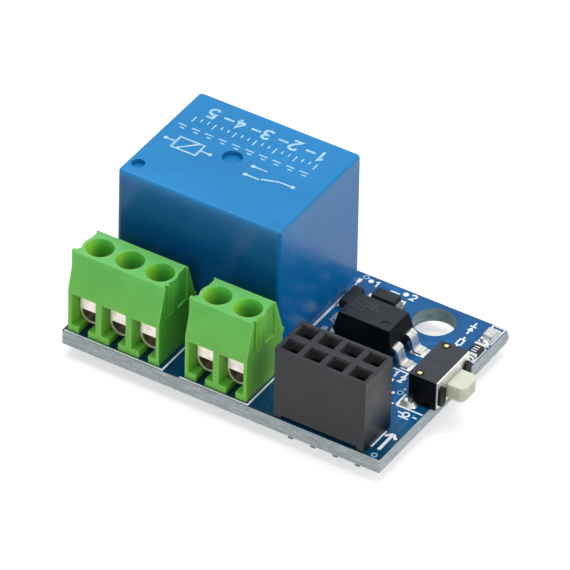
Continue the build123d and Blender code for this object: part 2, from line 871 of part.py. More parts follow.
def clamp_screw(x):
    """Slotted cheese head screw."""
    head_bottom = screw_head_top - screw_head_height
    head = upright(x, screw_y, head_bottom, screw_head_top, screw_head_radius)
    head = chamfer(head.faces().sort_by(Axis.Z)[-1].edges(), screw_head_chamfer)
    shank = upright(x, screw_y, screw_shank_bottom, head_bottom, screw_shank_radius)
    slot = block(x - screw_head_radius, x + screw_head_radius, screw_y - screw_slot_width / 2,
                 screw_y + screw_slot_width / 2, screw_head_top - screw_slot_depth, screw_head_top)
    return head + shank - slot


# Module socket

def socket_housing():
    body = block(socket_x, socket_x + socket_length, socket_y, socket_y + socket_width,
                 socket_standoff, socket_height)
    feet = [block(x, x + socket_foot, socket_y, socket_y + socket_width, 0, socket_standoff)
            for x in (socket_x, socket_x + socket_length - socket_foot)]
    cuts = []
    taper = degrees(atan(socket_mouth_inset / socket_mouth_depth))
    throat_x = socket_mouth_x - 2 * socket_mouth_inset
    throat_y = socket_mouth_y - 2 * socket_mouth_inset
    for x, y in socket_places():
        mouth = extrude(Rectangle(socket_mouth_x, socket_mouth_y), -socket_mouth_depth, taper=taper)
        cuts.append(Pos(x, y, socket_height) * mouth)
        cuts.append(pin_box(x, y, throat_x, throat_y, socket_cavity_top,
                            socket_height - socket_mouth_depth))
        cuts.append(pin_box(x, y, socket_cavity_x, socket_cavity_y, socket_floor,
                            socket_cavity_top))
        cuts.append(pin_box(x, y, contact_tail_x, contact_tail_y, 0, socket_floor))
    return body + feet - cuts


def socket_contact(x, y):
    """Forked spring with a flat solder tail."""
    base_top = socket_floor + contact_base_height
    outer = socket_cavity_x / 2 - contact_side_gap
    straight_top = base_top + contact_straight
    tail = pin_box(x, y, contact_tail_x, contact_tail_y, pin_tip_z, base_top)
    base = pin_box(x, y, 2 * outer, contact_width, socket_floor, base_top)
    arms = [
        prism_y([(x + side * px, z) for px, z in (
            (outer, base_top - contact_root),
            (outer, straight_top),
            (contact_half_gap + contact_strip, contact_pinch_z),
            (outer, contact_flare_z),
            (outer - contact_strip, contact_flare_z),
            (contact_half_gap, contact_pinch_z),
            (outer - contact_strip, straight_top),
            (outer - contact_strip, base_top - contact_root))],
                y - contact_width / 2, y + contact_width / 2)
        for side in (-1, 1)]
    return tail + base + arms


# Surface parts

def moulded_body(x, y, length, width, bottom, parting, top, taper, under_taper):
    """Moulded package that narrows up and down from its parting line."""
    upper = Pos(x, y, parting) * extrude(Rectangle(length, width), top - parting, taper=taper)
    lower = Pos(x, y, parting) * extrude(Rectangle(length, width), bottom - parting,
                                         taper=under_taper)
    return upper + lower


def opto_body():
    body = moulded_body(opto_x, opto_y, opto_length, opto_width, opto_bottom_z,
                        opto_parting_z, opto_top_z, opto_taper, opto_under_taper)
    dot = upright(opto_x + opto_length / 2 - opto_dot_inset_x,
                  opto_y - opto_width / 2 + opto_dot_inset_y,
                  opto_top_z - opto_dot_depth, opto_top_z, opto_dot_radius)
    return body - dot


def gull_lead(reach, shoulder, start, parting, foot_z, strip, bend, slope, width):
    """A lead that leaves the body at the parting line and turns down to the board."""
    return strip_y([(start, parting), (shoulder, parting), (shoulder + slope, foot_z),
                    (reach, foot_z)], bend, strip, width)


def opto_leads():
    foot_z = pad_thickness + opto_lead_strip / 2
    lead = gull_lead(opto_lead_reach, opto_length / 2 + opto_lead_out, opto_length / 2,
                     opto_parting_z - opto_lead_strip / 2, foot_z, opto_lead_strip, lead_bend,
                     lead_slope, opto_lead_width)
    return group([Pos(opto_x, opto_y + row * opto_lead_pitch / 2, 0) * Rot(0, 0, turn) * lead
                  for turn in (0, 180) for row in (-1, 1)])


def transistor_lead_places():
    """Which side each lead is on, and its y: two to the left and one to the right."""
    half = transistor_lead_pitch / 2
    return [(-1, transistor_y - half), (-1, transistor_y + half), (1, transistor_y)]


def small_lead(body_half, reach, width):
    parting = small_body_parting - small_lead_strip / 2
    foot_z = pad_thickness + small_lead_strip / 2
    return gull_lead(reach, body_half + small_lead_shoulder, body_half, parting, foot_z,
                     small_lead_strip, small_lead_bend, small_lead_slope, width)


def transistor_body():
    return moulded_body(transistor_x, transistor_y, transistor_width, transistor_length,
                        small_body_bottom, small_body_parting, small_body_top,
                        small_body_taper, small_body_taper)


def transistor_leads():
    lead = small_lead(transistor_width / 2, transistor_lead_reach, transistor_lead_width)
    return group([Pos(transistor_x, y, 0) * Rot(0, 0, 0 if side > 0 else 180) * lead
                  for side, y in transistor_lead_places()])


def diode_body():
    return moulded_body(diode_x, diode_y, diode_length, diode_width, small_body_bottom,
                        small_body_parting, small_body_top, small_body_taper, small_body_taper)


def diode_leads():
    lead = small_lead(diode_length / 2, diode_lead_reach, diode_lead_width)
    return group([Pos(diode_x, diode_y, 0) * Rot(0, 0, turn) * lead for turn in (0, 180)])


def chip_caps(y, height):
    """The two tinned ends of a chip part, wrapped round its body."""
    half_width = chip_width / 2 + chip_cap_wall
    core = chip_core(y, height)
    caps = []
    for side in (-1, 1):
        low_y, high_y = sorted((y + side * (chip_length / 2 + chip_cap_wall),
                                y + side * (chip_length / 2 - chip_cap_length)))
        shell = block(chip_x - half_width, chip_x + half_width, low_y, high_y,
                      pad_thickness, pad_thickness + height + 2 * chip_cap_wall)
        caps.append(shell - core)
    return group(caps)


def chip_core(y, height):
    bottom = pad_thickness + chip_cap_wall
    return block(chip_x - chip_width / 2, chip_x + chip_width / 2, y - chip_length / 2,
                 y + chip_length / 2, bottom, bottom + height)


def lamp_lens():
    """Clear cap over the lamp's chip."""
    bottom = pad_thickness + chip_cap_wall + lamp_base_height
    return slab(chip_x, lamp_y, bottom, chip_width, lamp_lens_length, lamp_lens_height,
                taper=lamp_lens_taper)


# Side push switch

def switch_body():
    """Moulded base, open towards the plunger, with its bosses and stakes."""
    box = block(switch_x, switch_face, switch_front, switch_back, switch_lift, switch_height)
    cavity_half = plunger_flange_width / 2 + plunger_clearance
    cavity = block(switch_x + switch_wall, switch_face, switch_y - cavity_half,
                   switch_y + cavity_half, switch_cavity_bottom, switch_cavity_top)
    feet = [block(switch_x, switch_x + switch_foot_length, y, y + switch_foot_width, 0, switch_lift)
            for y in (switch_front, switch_back - switch_foot_width)]
    bosses = [switch_boss(side, switch_face, switch_plate_face + switch_boss_out) for side in (-1, 1)]
    pin_slots = [switch_pin(side) for side in (-1, 1)]
    return box + feet + bosses - cavity - pin_slots


def switch_boss(side, x0, x1):
    """A tall oval stud that stands through the front plate."""
    oval = SlotOverall(switch_boss_height, switch_boss_width)
    stud = extrude(Plane.YZ * Rot(0, 0, 90) * oval, x1 - x0)
    return Pos(x0, switch_y + side * switch_boss_offset, switch_boss_z) * stud


def switch_plate():
    """Nickel front plate with a window for the plunger and a hole for each stud."""
    plate = block(switch_face, switch_plate_face, switch_front + switch_plate_inset,
                  switch_back - switch_plate_inset, switch_plate_bottom, switch_height)
    window = block(switch_face, switch_plate_face, switch_y - plunger_width / 2 - plunger_clearance,
                   switch_y + plunger_width / 2 + plunger_clearance,
                   plunger_bottom - plunger_clearance, plunger_top + plunger_clearance)
    bosses = [switch_boss(side, switch_face, switch_plate_face) for side in (-1, 1)]
    return plate - window - bosses


def switch_stakes():
    """The small brass ends that show on top of the switch."""
    return group([slab(switch_x + stake_inset, switch_y + side * stake_offset, switch_height,
                       stake_size, stake_size, stake_height) for side in (-1, 1)])


def switch_plunger():
    """Off-white push bar with cut corners and a flange behind the plate."""
    flange_face = switch_face - plunger_flange_gap
    bar = block(flange_face - plunger_flange_thickness, plunger_tip_x, switch_y - plunger_width / 2,
                switch_y + plunger_width / 2, plunger_bottom, plunger_top)
    tip = bar.faces().sort_by(Axis.X)[-1]
    bar = chamfer(tip.edges().filter_by(Axis.Z), plunger_chamfer)
    tip = bar.faces().sort_by(Axis.X)[-1]
    bar = chamfer(tip.edges().filter_by(Axis.Y), plunger_fine_chamfer)
    flange = block(flange_face - plunger_flange_thickness, flange_face,
                   switch_y - plunger_flange_width / 2, switch_y + plunger_flange_width / 2,
                   plunger_bottom - plunger_flange_below, plunger_top + plunger_flange_above)
    return bar + flange


def switch_dome():
    """Thin snap spring between the plunger and the fixed contact."""
    dome_x = switch_face - plunger_flange_gap - plunger_flange_thickness - dome_gap
    low = plunger_bottom - dome_overlap
    high = plunger_top + dome_overlap
    outside = ThreePointArc((dome_x - dome_rise, 0, low), (dome_x, 0, plunger_middle_z),
                            (dome_x - dome_rise, 0, high))
    inside = ThreePointArc((dome_x - dome_rise, 0, high - dome_thickness),
                           (dome_x - dome_thickness, 0, plunger_middle_z),
                           (dome_x - dome_rise, 0, low + dome_thickness))
    ends = [Line(outside @ 1, inside @ 0), Line(inside @ 1, outside @ 0)]
    face = make_face(Curve() + [outside, inside] + ends)
    half = plunger_flange_width / 2 - dome_side_inset
    return Pos(0, switch_y, 0) * extrude(face, amount=half, dir=(0, 1, 0), both=True)


def switch_pin(side):
    """A pin that leaves the switch's end and turns down through the board."""
    half = switch_pin_size / 2
    y = switch_y + side * (switch_width / 2 + switch_pin_out)
    root = switch_y + side * (switch_width / 2 - switch_pin_root)
    low, high = sorted((root, y + side * half))
    arm = block(switch_pin_x - half, switch_pin_x + half, low, high,
                switch_pin_z - half, switch_pin_z + half)
    post = block(switch_pin_x - half, switch_pin_x + half, y - half, y + half,
                 pin_tip_z, switch_pin_z + half)
    return arm + post


# Write every piece

save(circuit_board(), "circuit_board")
save(board_print(), "board_print")
save(solder_pads(), "solder_pads")
save(solder_joints(), "solder_joints")

open_tongue_z = (armature_top - contact_button_height - contact_travel - contact_rest_gap
                 - fixed_button_height - contact_blade)
open_button_z = open_tongue_z + contact_blade + fixed_button_height
closed_button_z = leaf_top + contact_button_height + contact_rest_gap
closed_tongue_z = closed_button_z + fixed_button_height
open_terminal, open_button = contact_terminal(1, open_tongue_z, open_button_z)
closed_terminal, closed_button = contact_terminal(-1, closed_tongue_z, closed_button_z)
save(relay_cover(), "relay_cover")
save(relay_base(), "relay_base")
save(relay_yoke(), "relay_yoke")
save(relay_core(), "relay_core")
save(relay_bobbin(), "relay_bobbin")
save(relay_coil(), "relay_coil")
save(relay_armature(), "relay_armature")
save(relay_spring(), "relay_spring")
save(relay_moving_contact(), "relay_moving_contact")
save(open_terminal, "relay_open_terminal")
save(closed_terminal, "relay_closed_terminal")
save(group([open_button, closed_button]), "relay_fixed_contacts")
save(relay_common_terminal(), "relay_common_terminal")
save(relay_coil_pins(), "relay_coil_pins")

save(terminal_housing(output_block_x, output_ways), "output_terminal_housing")
save(terminal_housing(supply_block_x, supply_ways), "supply_terminal_housing")
for number, way_x in enumerate(terminal_ways, 1):
    save(clamp_cage(way_x), f"clamp_cage_{number}")
    save(clamp_leaf(way_x), f"clamp_leaf_{number}")
    save(clamp_screw(way_x), f"clamp_screw_{number}")

save(socket_housing(), "socket_housing")
for number, (contact_place_x, contact_place_y) in enumerate(socket_places(), 1):
    save(socket_contact(contact_place_x, contact_place_y), f"socket_contact_{number}")

save(opto_body(), "optocoupler_body")
save(opto_leads(), "optocoupler_leads")
save(transistor_body(), "transistor_body")
save(transistor_leads(), "transistor_leads")
save(diode_body(), "diode_body")
save(diode_leads(), "diode_leads")
save(chip_core(resistor_y, chip_height), "resistor_body")
save(chip_core(lamp_y, lamp_base_height), "lamp_base")
save(lamp_lens(), "lamp_lens")
save(group([chip_caps(resistor_y, chip_height), chip_caps(lamp_y, lamp_base_height)]),
     "chip_end_caps")

save(switch_body(), "switch_body")
save(switch_plate(), "switch_plate")
save(switch_stakes(), "switch_stakes")
save(switch_plunger(), "switch_plunger")
save(switch_dome(), "switch_dome")
save(group([switch_pin(-1), switch_pin(1)]), "switch_pins")
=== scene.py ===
import json
from math import cos, pi, radians, sin

import bmesh
import bpy
from mathutils import Matrix, Vector

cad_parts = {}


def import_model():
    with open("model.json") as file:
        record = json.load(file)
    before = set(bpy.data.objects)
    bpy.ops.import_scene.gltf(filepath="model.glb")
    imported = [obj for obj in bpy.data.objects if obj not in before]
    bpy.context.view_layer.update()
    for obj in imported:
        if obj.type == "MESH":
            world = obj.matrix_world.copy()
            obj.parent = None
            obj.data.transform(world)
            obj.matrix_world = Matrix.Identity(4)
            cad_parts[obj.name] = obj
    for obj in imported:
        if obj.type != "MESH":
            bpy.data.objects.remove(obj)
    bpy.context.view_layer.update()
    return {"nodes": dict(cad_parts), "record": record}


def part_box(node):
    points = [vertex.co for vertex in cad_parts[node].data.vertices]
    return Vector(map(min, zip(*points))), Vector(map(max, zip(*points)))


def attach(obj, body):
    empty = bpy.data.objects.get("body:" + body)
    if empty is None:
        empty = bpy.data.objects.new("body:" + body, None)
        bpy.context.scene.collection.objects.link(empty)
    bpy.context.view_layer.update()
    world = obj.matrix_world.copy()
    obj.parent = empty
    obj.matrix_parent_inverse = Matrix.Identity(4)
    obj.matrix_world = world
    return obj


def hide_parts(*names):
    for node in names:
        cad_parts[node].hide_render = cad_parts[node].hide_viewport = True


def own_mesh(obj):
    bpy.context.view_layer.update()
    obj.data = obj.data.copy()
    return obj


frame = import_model()
nodes = frame["nodes"]

# Places on the board are in millimetres from the front left corner of its top face
MM = 0.001
BOARD_LOW, BOARD_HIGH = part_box("circuit_board")


def at(x, y, z=0.0):
    """A point on the board, in millimetres, as a point in the row frame, in metres."""
    return Vector((BOARD_LOW.x + x * MM, BOARD_LOW.y + y * MM, BOARD_HIGH.z + z * MM))


def board_box(node):
    """Low and high corner of a CAD node, in millimetres on the board."""
    low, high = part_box(node)
    corner = at(0, 0)
    return (low - corner) / MM, (high - corner) / MM


# Colour and shader helpers

def srgb(red, green, blue):
    """A colour as it looks on a screen, 0 to 255, as the linear colour of a shader."""
    def linear(value):
        value /= 255
        return value / 12.92 if value <= 0.04045 else ((value + 0.055) / 1.055) ** 2.4
    return (linear(red), linear(green), linear(blue), 1.0)


def scaled(colour, factor):
    """A colour made lighter or darker by a factor."""
    return tuple(min(1.0, part * factor) for part in colour[:3]) + (1.0,)


# Sockets of a Mix node that mixes colours: the factor, the two colours and the result
MIX_INPUTS = (0, 6, 7)
MIX_RESULT = 2

WHITE = (1, 1, 1, 1)
BLACK = (0, 0, 0, 1)


class Finish:
    """A procedural material: a Principled shader and the nodes that feed it."""

    def __init__(self, name, roughness=0.5, metallic=0.0, specular=0.5, **sockets):
        self.material = bpy.data.materials.new(name)
        self.material.use_nodes = True
        self.tree = self.material.node_tree
        self.shader = self.tree.nodes["Principled BSDF"]
        self.shader.inputs["Roughness"].default_value = roughness
        self.shader.inputs["Metallic"].default_value = metallic
        self.shader.inputs["Specular IOR Level"].default_value = specular
        for label, value in sockets.items():
            self.shader.inputs[label.replace("_", " ")].default_value = value
        self.place = self.tree.nodes.new("ShaderNodeTexCoord").outputs["Object"]
        self.normal = None

    def link(self, source, target):
        self.tree.links.new(source, target)

    def stretched(self, size, stretch):
        """The object's coordinates in units of size millimetres, longer along the stretched axes."""
        mapping = self.tree.nodes.new("ShaderNodeMapping")
        mapping.inputs["Scale"].default_value = [1 / (size * MM * part) for part in stretch]
        self.link(self.place, mapping.inputs["Vector"])
        return mapping.outputs["Vector"]

    def noise(self, size, detail=3.0, rough=0.55, stretch=(1, 1, 1)):
        """Noise with features of about size millimetres."""
        node = self.tree.nodes.new("ShaderNodeTexNoise")
        node.inputs["Scale"].default_value = 1.0
        node.inputs["Detail"].default_value = detail
        node.inputs["Roughness"].default_value = rough
        self.link(self.stretched(size, stretch), node.inputs["Vector"])
        return node.outputs["Fac"]

    def cells(self, size):
        """Distance to the nearest of many scattered points, size millimetres apart."""
        node = self.tree.nodes.new("ShaderNodeTexVoronoi")
        node.inputs["Scale"].default_value = 1.0
        self.link(self.stretched(size, (1, 1, 1)), node.inputs["Vector"])
        return node.outputs["Distance"]

    def ramp(self, source, *stops):
        """A colour ramp with stops of (place, colour)."""
        node = self.tree.nodes.new("ShaderNodeValToRGB")
        elements = node.color_ramp.elements
        while len(elements) < len(stops):
            elements.new(0.5)
        for element, (place, colour) in zip(elements, stops):
            element.position = place
            element.color = colour
        self.link(source, node.inputs["Fac"])
        return node.outputs["Color"]

    def spread(self, source, low, high, from_low=0.3, from_high=0.7):
        """A value mapped on to the range low to high."""
        node = self.tree.nodes.new("ShaderNodeMapRange")
        for label, value in (("From Min", from_low), ("From Max", from_high),
                             ("To Min", low), ("To Max", high)):
            node.inputs[label].default_value = value
        self.link(source, node.inputs["Value"])
        return node.outputs["Result"]

    def mix(self, factor, first, second):
        """Two colours mixed by a socket or a number."""
        node = self.tree.nodes.new("ShaderNodeMix")
        node.data_type = "RGBA"
        for index, value in zip(MIX_INPUTS, (factor, first, second)):
            if isinstance(value, bpy.types.NodeSocket):
                self.link(value, node.inputs[index])
            else:
                node.inputs[index].default_value = value
        return node.outputs[MIX_RESULT]

    def facing(self, direction):
        """How far the surface faces a direction of the board, from -1 to 1."""
        node = self.tree.nodes.new("ShaderNodeVectorMath")
        node.operation = "DOT_PRODUCT"
        node.inputs[1].default_value = Vector(direction).normalized()
        self.link(self.tree.nodes.new("ShaderNodeNewGeometry").outputs["Normal"], node.inputs[0])
        return node.outputs["Value"]

    def along(self, axis):
        """The place of each point along an axis of the row frame, in metres."""
        node = self.tree.nodes.new("ShaderNodeSeparateXYZ")
        self.link(self.place, node.inputs["Vector"])
        return node.outputs[axis]

    def height(self):
        """The height of each point above the table, in metres."""
        return self.along("Z")

    def depth_below(self, top, start, end):
        """0 down to start millimetres below the height top, 1 from end millimetres below it."""
        return self.spread(self.height(), 1, 0, top - end * MM, top - start * MM)

    def colour(self, source):
        self.link(source, self.shader.inputs["Base Color"])

    def rough(self, source, low, high):
        self.link(self.spread(source, low, high), self.shader.inputs["Roughness"])

    def bump(self, source, strength, depth):
        """A bump of depth millimetres at full strength, on top of any bump set before."""
        node = self.tree.nodes.new("ShaderNodeBump")
        node.inputs["Strength"].default_value = strength
        node.inputs["Distance"].default_value = depth * MM
        self.link(source, node.inputs["Height"])
        if self.normal is not None:
            self.link(self.normal, node.inputs["Normal"])
        self.normal = node.outputs["Normal"]
        self.link(self.normal, self.shader.inputs["Normal"])


# Size of the grain that a smooth and a spark-cut mould leave, in millimetres
SMOOTH_GRAIN = 0.08
SPARK_GRAIN = 0.06


def plain_finish(name, colour, roughness, patch=3.0, contrast=0.12, roughness_spread=0.08, **sockets):
    """A moulded or plated surface: soft patches of shade, fine grain and uneven gloss."""
    finish = Finish(name, roughness=roughness, **sockets)
    patches = finish.noise(patch, 4.0)
    finish.colour(finish.ramp(patches, (0.3, scaled(colour, 1 - contrast)),
                              (0.7, scaled(colour, 1 + contrast))))
    finish.rough(finish.noise(patch * 0.4, 5.0), roughness - roughness_spread, roughness + roughness_spread)
    finish.bump(finish.noise(SMOOTH_GRAIN, 2.0), 0.5, 0.004)
    return finish.material


# Finishes

# How far the painted shade at the lacquer's front reaches back and the painted shade at the socket's foot
# reaches up, in millimetres
LACQUER_PAINTED_SHADE_REACH = 13
SOCKET_FOOT_PAINTED_SHADE_REACH = 7


def lacquer(name, lift=1.0):
    """Glossy blue lacquer over the glass weave and copper of a board, with painted shade towards the front.
    """
    finish = Finish(name, roughness=0.3, specular=0.22)
    patches = finish.noise(6.0, 2.0, 0.5)
    base = finish.ramp(patches, (0.35, scaled(srgb(0, 72, 124), lift)),
                       (0.65, scaled(srgb(4, 90, 144), lift)))
    # Painted shade: the lacquer turns darker towards the front edge
    back = finish.along("Y")
    base = finish.mix(finish.spread(back, 1, 0, BOARD_LOW.y, BOARD_LOW.y + LACQUER_PAINTED_SHADE_REACH * MM),
                      base, scaled(srgb(0, 52, 80), lift))
    dust = finish.ramp(finish.cells(0.9), (0.0, WHITE), (0.05, BLACK))
    finish.colour(finish.mix(dust, base, srgb(64, 124, 168)))
    finish.rough(finish.noise(1.6, 4.0), 0.22, 0.38)
    finish.bump(patches, 0.2, 0.05)
    finish.bump(finish.noise(0.35, 1.0), 0.25, 0.01)
    return finish.material


def hole_wall():
    """The drilled wall of a hole in the board, smoother than its cut edge."""
    finish = Finish("hole_wall", roughness=0.6, specular=0.3)
    fibres = finish.noise(0.3, 3.0, 0.6, stretch=(3.0, 3.0, 1.0))
    finish.colour(finish.ramp(fibres, (0.3, srgb(118, 144, 148)), (0.7, srgb(158, 182, 184))))
    finish.bump(fibres, 0.3, 0.02)
    return finish.material


def board_edge():
    """The cut edge of a glass-fibre board, with streaks of fibre and saw marks."""
    finish = Finish("board_edge", roughness=0.62, specular=0.4)
    layers = finish.noise(0.16, 3.0, 0.7, stretch=(9, 9, 1))
    fibres = finish.noise(0.1, 2.0, 0.6, stretch=(3.0, 3.0, 1.0))
    streaks = finish.ramp(layers, (0.3, srgb(134, 146, 150)), (0.5, srgb(170, 182, 187)),
                          (0.7, srgb(204, 212, 216)))
    threads = finish.ramp(fibres, (0.35, srgb(122, 132, 134)), (0.65, srgb(212, 216, 214)))
    finish.colour(finish.mix(0.35, streaks, threads))
    finish.bump(layers, 0.6, 0.03)
    finish.bump(fibres, 0.5, 0.02)
    return finish.material


def print_white():
    """Screen print, a little thin in places."""
    finish = Finish("print_white", roughness=0.5)
    wear = finish.noise(0.25, 4.0)
    finish.colour(finish.ramp(wear, (0.3, srgb(196, 206, 214)), (0.55, srgb(232, 236, 238))))
    finish.bump(finish.noise(0.12, 2.0), 0.4, 0.006)
    return finish.material


def relay_print():
    """Pale pad print on the relay, through which a little blue shows."""
    finish = Finish("relay_print", roughness=0.42)
    wear = finish.noise(0.3, 4.0)
    finish.colour(finish.ramp(wear, (0.28, srgb(112, 164, 204)), (0.6, srgb(168, 202, 226))))
    finish.bump(finish.noise(0.15, 2.0), 0.3, 0.004)
    return finish.material


def relay_blue():
    """Glossy blue moulding with flow marks.

    The sides get painted shade that grows down from the top, less on the sides that face right and most on
    the others.
    """
    finish = Finish("relay_blue", roughness=0.24, specular=0.24)
    flow = finish.noise(7.0, 3.0, 0.5, stretch=(1.6, 1.0, 1.0))
    base = finish.ramp(flow, (0.3, srgb(20, 114, 172)), (0.7, srgb(28, 126, 186)))
    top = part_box("relay_cover")[1].z
    # Painted shade on the sides, growing down from the top
    share = finish.ramp(finish.depth_below(top, 0.3, 6.0),
                        (0.0, BLACK), (0.15, (0.55, 0.55, 0.55, 1)), (1.0, WHITE))
    # Painted light: the sides that face right keep a lighter colour
    right_face_painted_light = finish.spread(finish.facing((1, 0, 0)), 0, 1, 0.2, 0.8)
    base = finish.mix(share, base, finish.mix(right_face_painted_light, srgb(0, 74, 132), srgb(1, 108, 176)))
    specks = finish.ramp(finish.cells(1.3), (0.0, WHITE), (0.035, BLACK))
    finish.colour(finish.mix(specks, base, srgb(96, 160, 204)))
    finish.rough(finish.noise(2.2, 5.0), 0.18, 0.3)
    finish.bump(finish.noise(4.0, 2.0), 0.15, 0.06)
    finish.bump(finish.noise(0.09, 2.0), 0.3, 0.0025)
    return finish.material


def terminal_green(name, gloss, deep=None, glow=0, shade=0):
    """Satin green nylon that lets light through, yellower below, with a painted sheen on top that makes it
    less green.

    The walls of a bore get painted shade that grows on the way down. Walls that face right get a painted
    glow by one share, and a side in shade gets painted shade by another.
    """
    finish = Finish(name, roughness=0.4, specular=0.45, Subsurface_Weight=0.5,
                    Subsurface_Radius=(1.0, 0.9, 0.15), Subsurface_Scale=0.0014)
    patches = finish.noise(3.0, 3.0)
    base = finish.ramp(patches, (0.3, srgb(92, 186, 78)), (0.7, srgb(104, 197, 88)))
    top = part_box("output_terminal_housing")[1].z
    low = finish.ramp(finish.spread(finish.height(), 0, 1, top - 6.0 * MM, top),
                      (0.0, (0.5, 0.5, 0.5, 1)), (1.0, BLACK))
    base = finish.mix(low, base, srgb(124, 200, 56))
    # Painted sheen on the top faces, less green
    painted_top_sheen = finish.spread(finish.height(), 0, 0.8, top - 0.15 * MM, top - 0.02 * MM)
    base = finish.mix(painted_top_sheen, base, srgb(96, 172, 92))
    # Painted shade down the walls of a bore
    if deep:
        base = finish.mix(finish.depth_below(top, 0.4, 2.4), base, deep)
    # Painted glow on the walls that face right
    if glow:
        painted_glow = finish.spread(finish.facing((0.86, 0.5, 0)), 0, glow, 0.0, 0.8)
        base = finish.mix(painted_glow, base, srgb(182, 236, 76))
    # Painted shade on a side in shade
    if shade:
        base = finish.mix(shade, base, srgb(0, 112, 0))
    finish.colour(base)
    finish.rough(finish.noise(0.8, 4.0), gloss - 0.08, gloss + 0.08)
    finish.bump(finish.noise(2.0, 2.0), 0.2, 0.04)
    finish.bump(finish.noise(0.1, 2.0), 0.4, 0.004)
    return finish.material


def metal(name, colour, roughness, scratch=0.35, stretch=(8, 1, 1), tarnish=None):
    """Plated or bare metal with drawn lines and faint stains."""
    finish = Finish(name, roughness=roughness, metallic=1.0)
    stains = finish.noise(0.8, 4.0)
    dull = tarnish or scaled(colour, 0.72)
    finish.colour(finish.ramp(stains, (0.3, dull), (0.62, colour)))
    lines = finish.noise(0.06, 3.0, 0.6, stretch=stretch)
    finish.rough(lines, max(0.05, roughness - 0.1), roughness + 0.14)
    finish.bump(lines, scratch, 0.006)
    return finish.material


def solder():
    """Bright solder, frozen in soft ripples."""
    finish = Finish("solder", roughness=0.24, metallic=1.0)
    stains = finish.noise(0.5, 4.0)
    finish.colour(finish.ramp(stains, (0.3, srgb(164, 168, 172)), (0.65, srgb(222, 224, 224))))
    finish.rough(finish.noise(0.3, 4.0), 0.16, 0.4)
    finish.bump(finish.noise(0.35, 3.0), 0.7, 0.05)
    return finish.material


def matt_black(name, dark, light, roughness=0.5, patch=1.5, specular=0.2, dark_spots=(), foot=0):
    """Moulding with the fine grain of a spark-cut mould, darker round each of the given spots.

    Its foot may get painted shade by a given share, which fades out above the board.
    """
    finish = Finish(name, roughness=roughness, specular=specular)
    base = finish.ramp(finish.noise(patch, 4.0), (0.3, dark), (0.7, light))
    # Painted shade at the foot, fading out above the board
    if foot:
        low = finish.spread(finish.height(), foot, 0, BOARD_HIGH.z, BOARD_HIGH.z + SOCKET_FOOT_PAINTED_SHADE_REACH * MM)
        base = finish.mix(low, base, srgb(4, 6, 12))
    for spot, radius in dark_spots:
        reach = finish.tree.nodes.new("ShaderNodeVectorMath")
        reach.operation = "DISTANCE"
        reach.inputs[1].default_value = spot
        finish.link(finish.place, reach.inputs[0])
        shade = finish.ramp(finish.spread(reach.outputs["Value"], 0, 1, 0, radius * MM),
                            (0.6, WHITE), (1.0, BLACK))
        base = finish.mix(shade, base, srgb(8, 8, 9))
    finish.colour(base)
    finish.rough(finish.noise(patch * 0.4, 4.0), roughness - 0.08, roughness + 0.1)
    finish.bump(finish.noise(SPARK_GRAIN, 2.0), 0.5, 0.005)
    return finish.material


def stake_centres():
    """The middle of each small brass end on top of the switch."""
    low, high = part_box("switch_stakes")
    half = (high.x - low.x) / 2
    return [Vector(((low.x + high.x) / 2, y, high.z)) for y in (low.y + half, high.y - half)]


# A spot round each stake is darker, out to this many millimetres
STAKE_SPOTS = [(centre, 0.62) for centre in stake_centres()]

# One finish for each material slot of the record
FINISHES = {
    "board_mask": lacquer("board_mask"),
    "print_white": print_white(),
    "solder": solder(),
    "relay_blue": relay_blue(),
    "relay_black": plain_finish("relay_black", srgb(40, 41, 44), 0.55),
    "iron": metal("iron", srgb(178, 180, 184), 0.35, tarnish=srgb(126, 128, 132)),
    "copper_wire": metal("copper_wire", srgb(196, 112, 62), 0.3, 0.8, stretch=(20, 20, 1)),
    "bronze": metal("bronze", srgb(206, 166, 104), 0.3),
    "silver": metal("silver", srgb(226, 226, 222), 0.25),
    "tinned_pin": metal("tinned_pin", srgb(222, 224, 218), 0.3, stretch=(1, 1, 6),
                        tarnish=srgb(186, 188, 186)),
    "terminal_green": terminal_green("terminal_green", 0.4),
    "nickel": metal("nickel", srgb(232, 224, 214), 0.32, stretch=(6, 1, 1), tarnish=srgb(204, 196, 186)),
    "screw_steel": metal("screw_steel", srgb(196, 198, 198), 0.3, stretch=(1, 6, 1)),
    # The socket's foot gets painted shade
    "socket_black": matt_black("socket_black", srgb(26, 28, 33), srgb(35, 37, 42), 0.34, 3.5, specular=0.34,
                               foot=0.8),
    "package_black": matt_black("package_black", srgb(23, 29, 34), srgb(33, 39, 44), 0.5),
    "lamp_white": plain_finish("lamp_white", srgb(226, 226, 226), 0.5, patch=0.4),
    "lamp_clear": plain_finish("lamp_clear", srgb(240, 237, 242), 0.14, patch=0.5, contrast=0.06,
                               roughness_spread=0.05, Transmission_Weight=0.45, IOR=1.5),
    "switch_black": matt_black("switch_black", srgb(43, 47, 52), srgb(53, 57, 62), 0.5, 1.6,
                               dark_spots=STAKE_SPOTS),
    "stake_brass": metal("stake_brass", srgb(240, 230, 168), 0.3),
    "plunger_cream": plain_finish("plunger_cream", srgb(194, 197, 180), 0.5, patch=1.5, contrast=0.04,
                                  Subsurface_Weight=0.7, Subsurface_Radius=(1.0, 1.0, 0.8),
                                  Subsurface_Scale=0.0016),
}

# Finishes for some faces of a node, or for the scene's own pieces
EDGE_FINISH = board_edge()
HOLE_FINISH = hole_wall()
# The bores: glossy, with painted shade down the bore and a painted glow on walls that face right
BORE_GLOSS_AND_PAINTED_LIGHT = terminal_green("terminal_bore_gloss_and_painted_light", 0.16, srgb(30, 150, 4), glow=0.6)
# Painted glow on the terminals' posts
POST_PAINTED_GLOW = terminal_green("terminal_post_painted_glow", 0.4, glow=0.2)
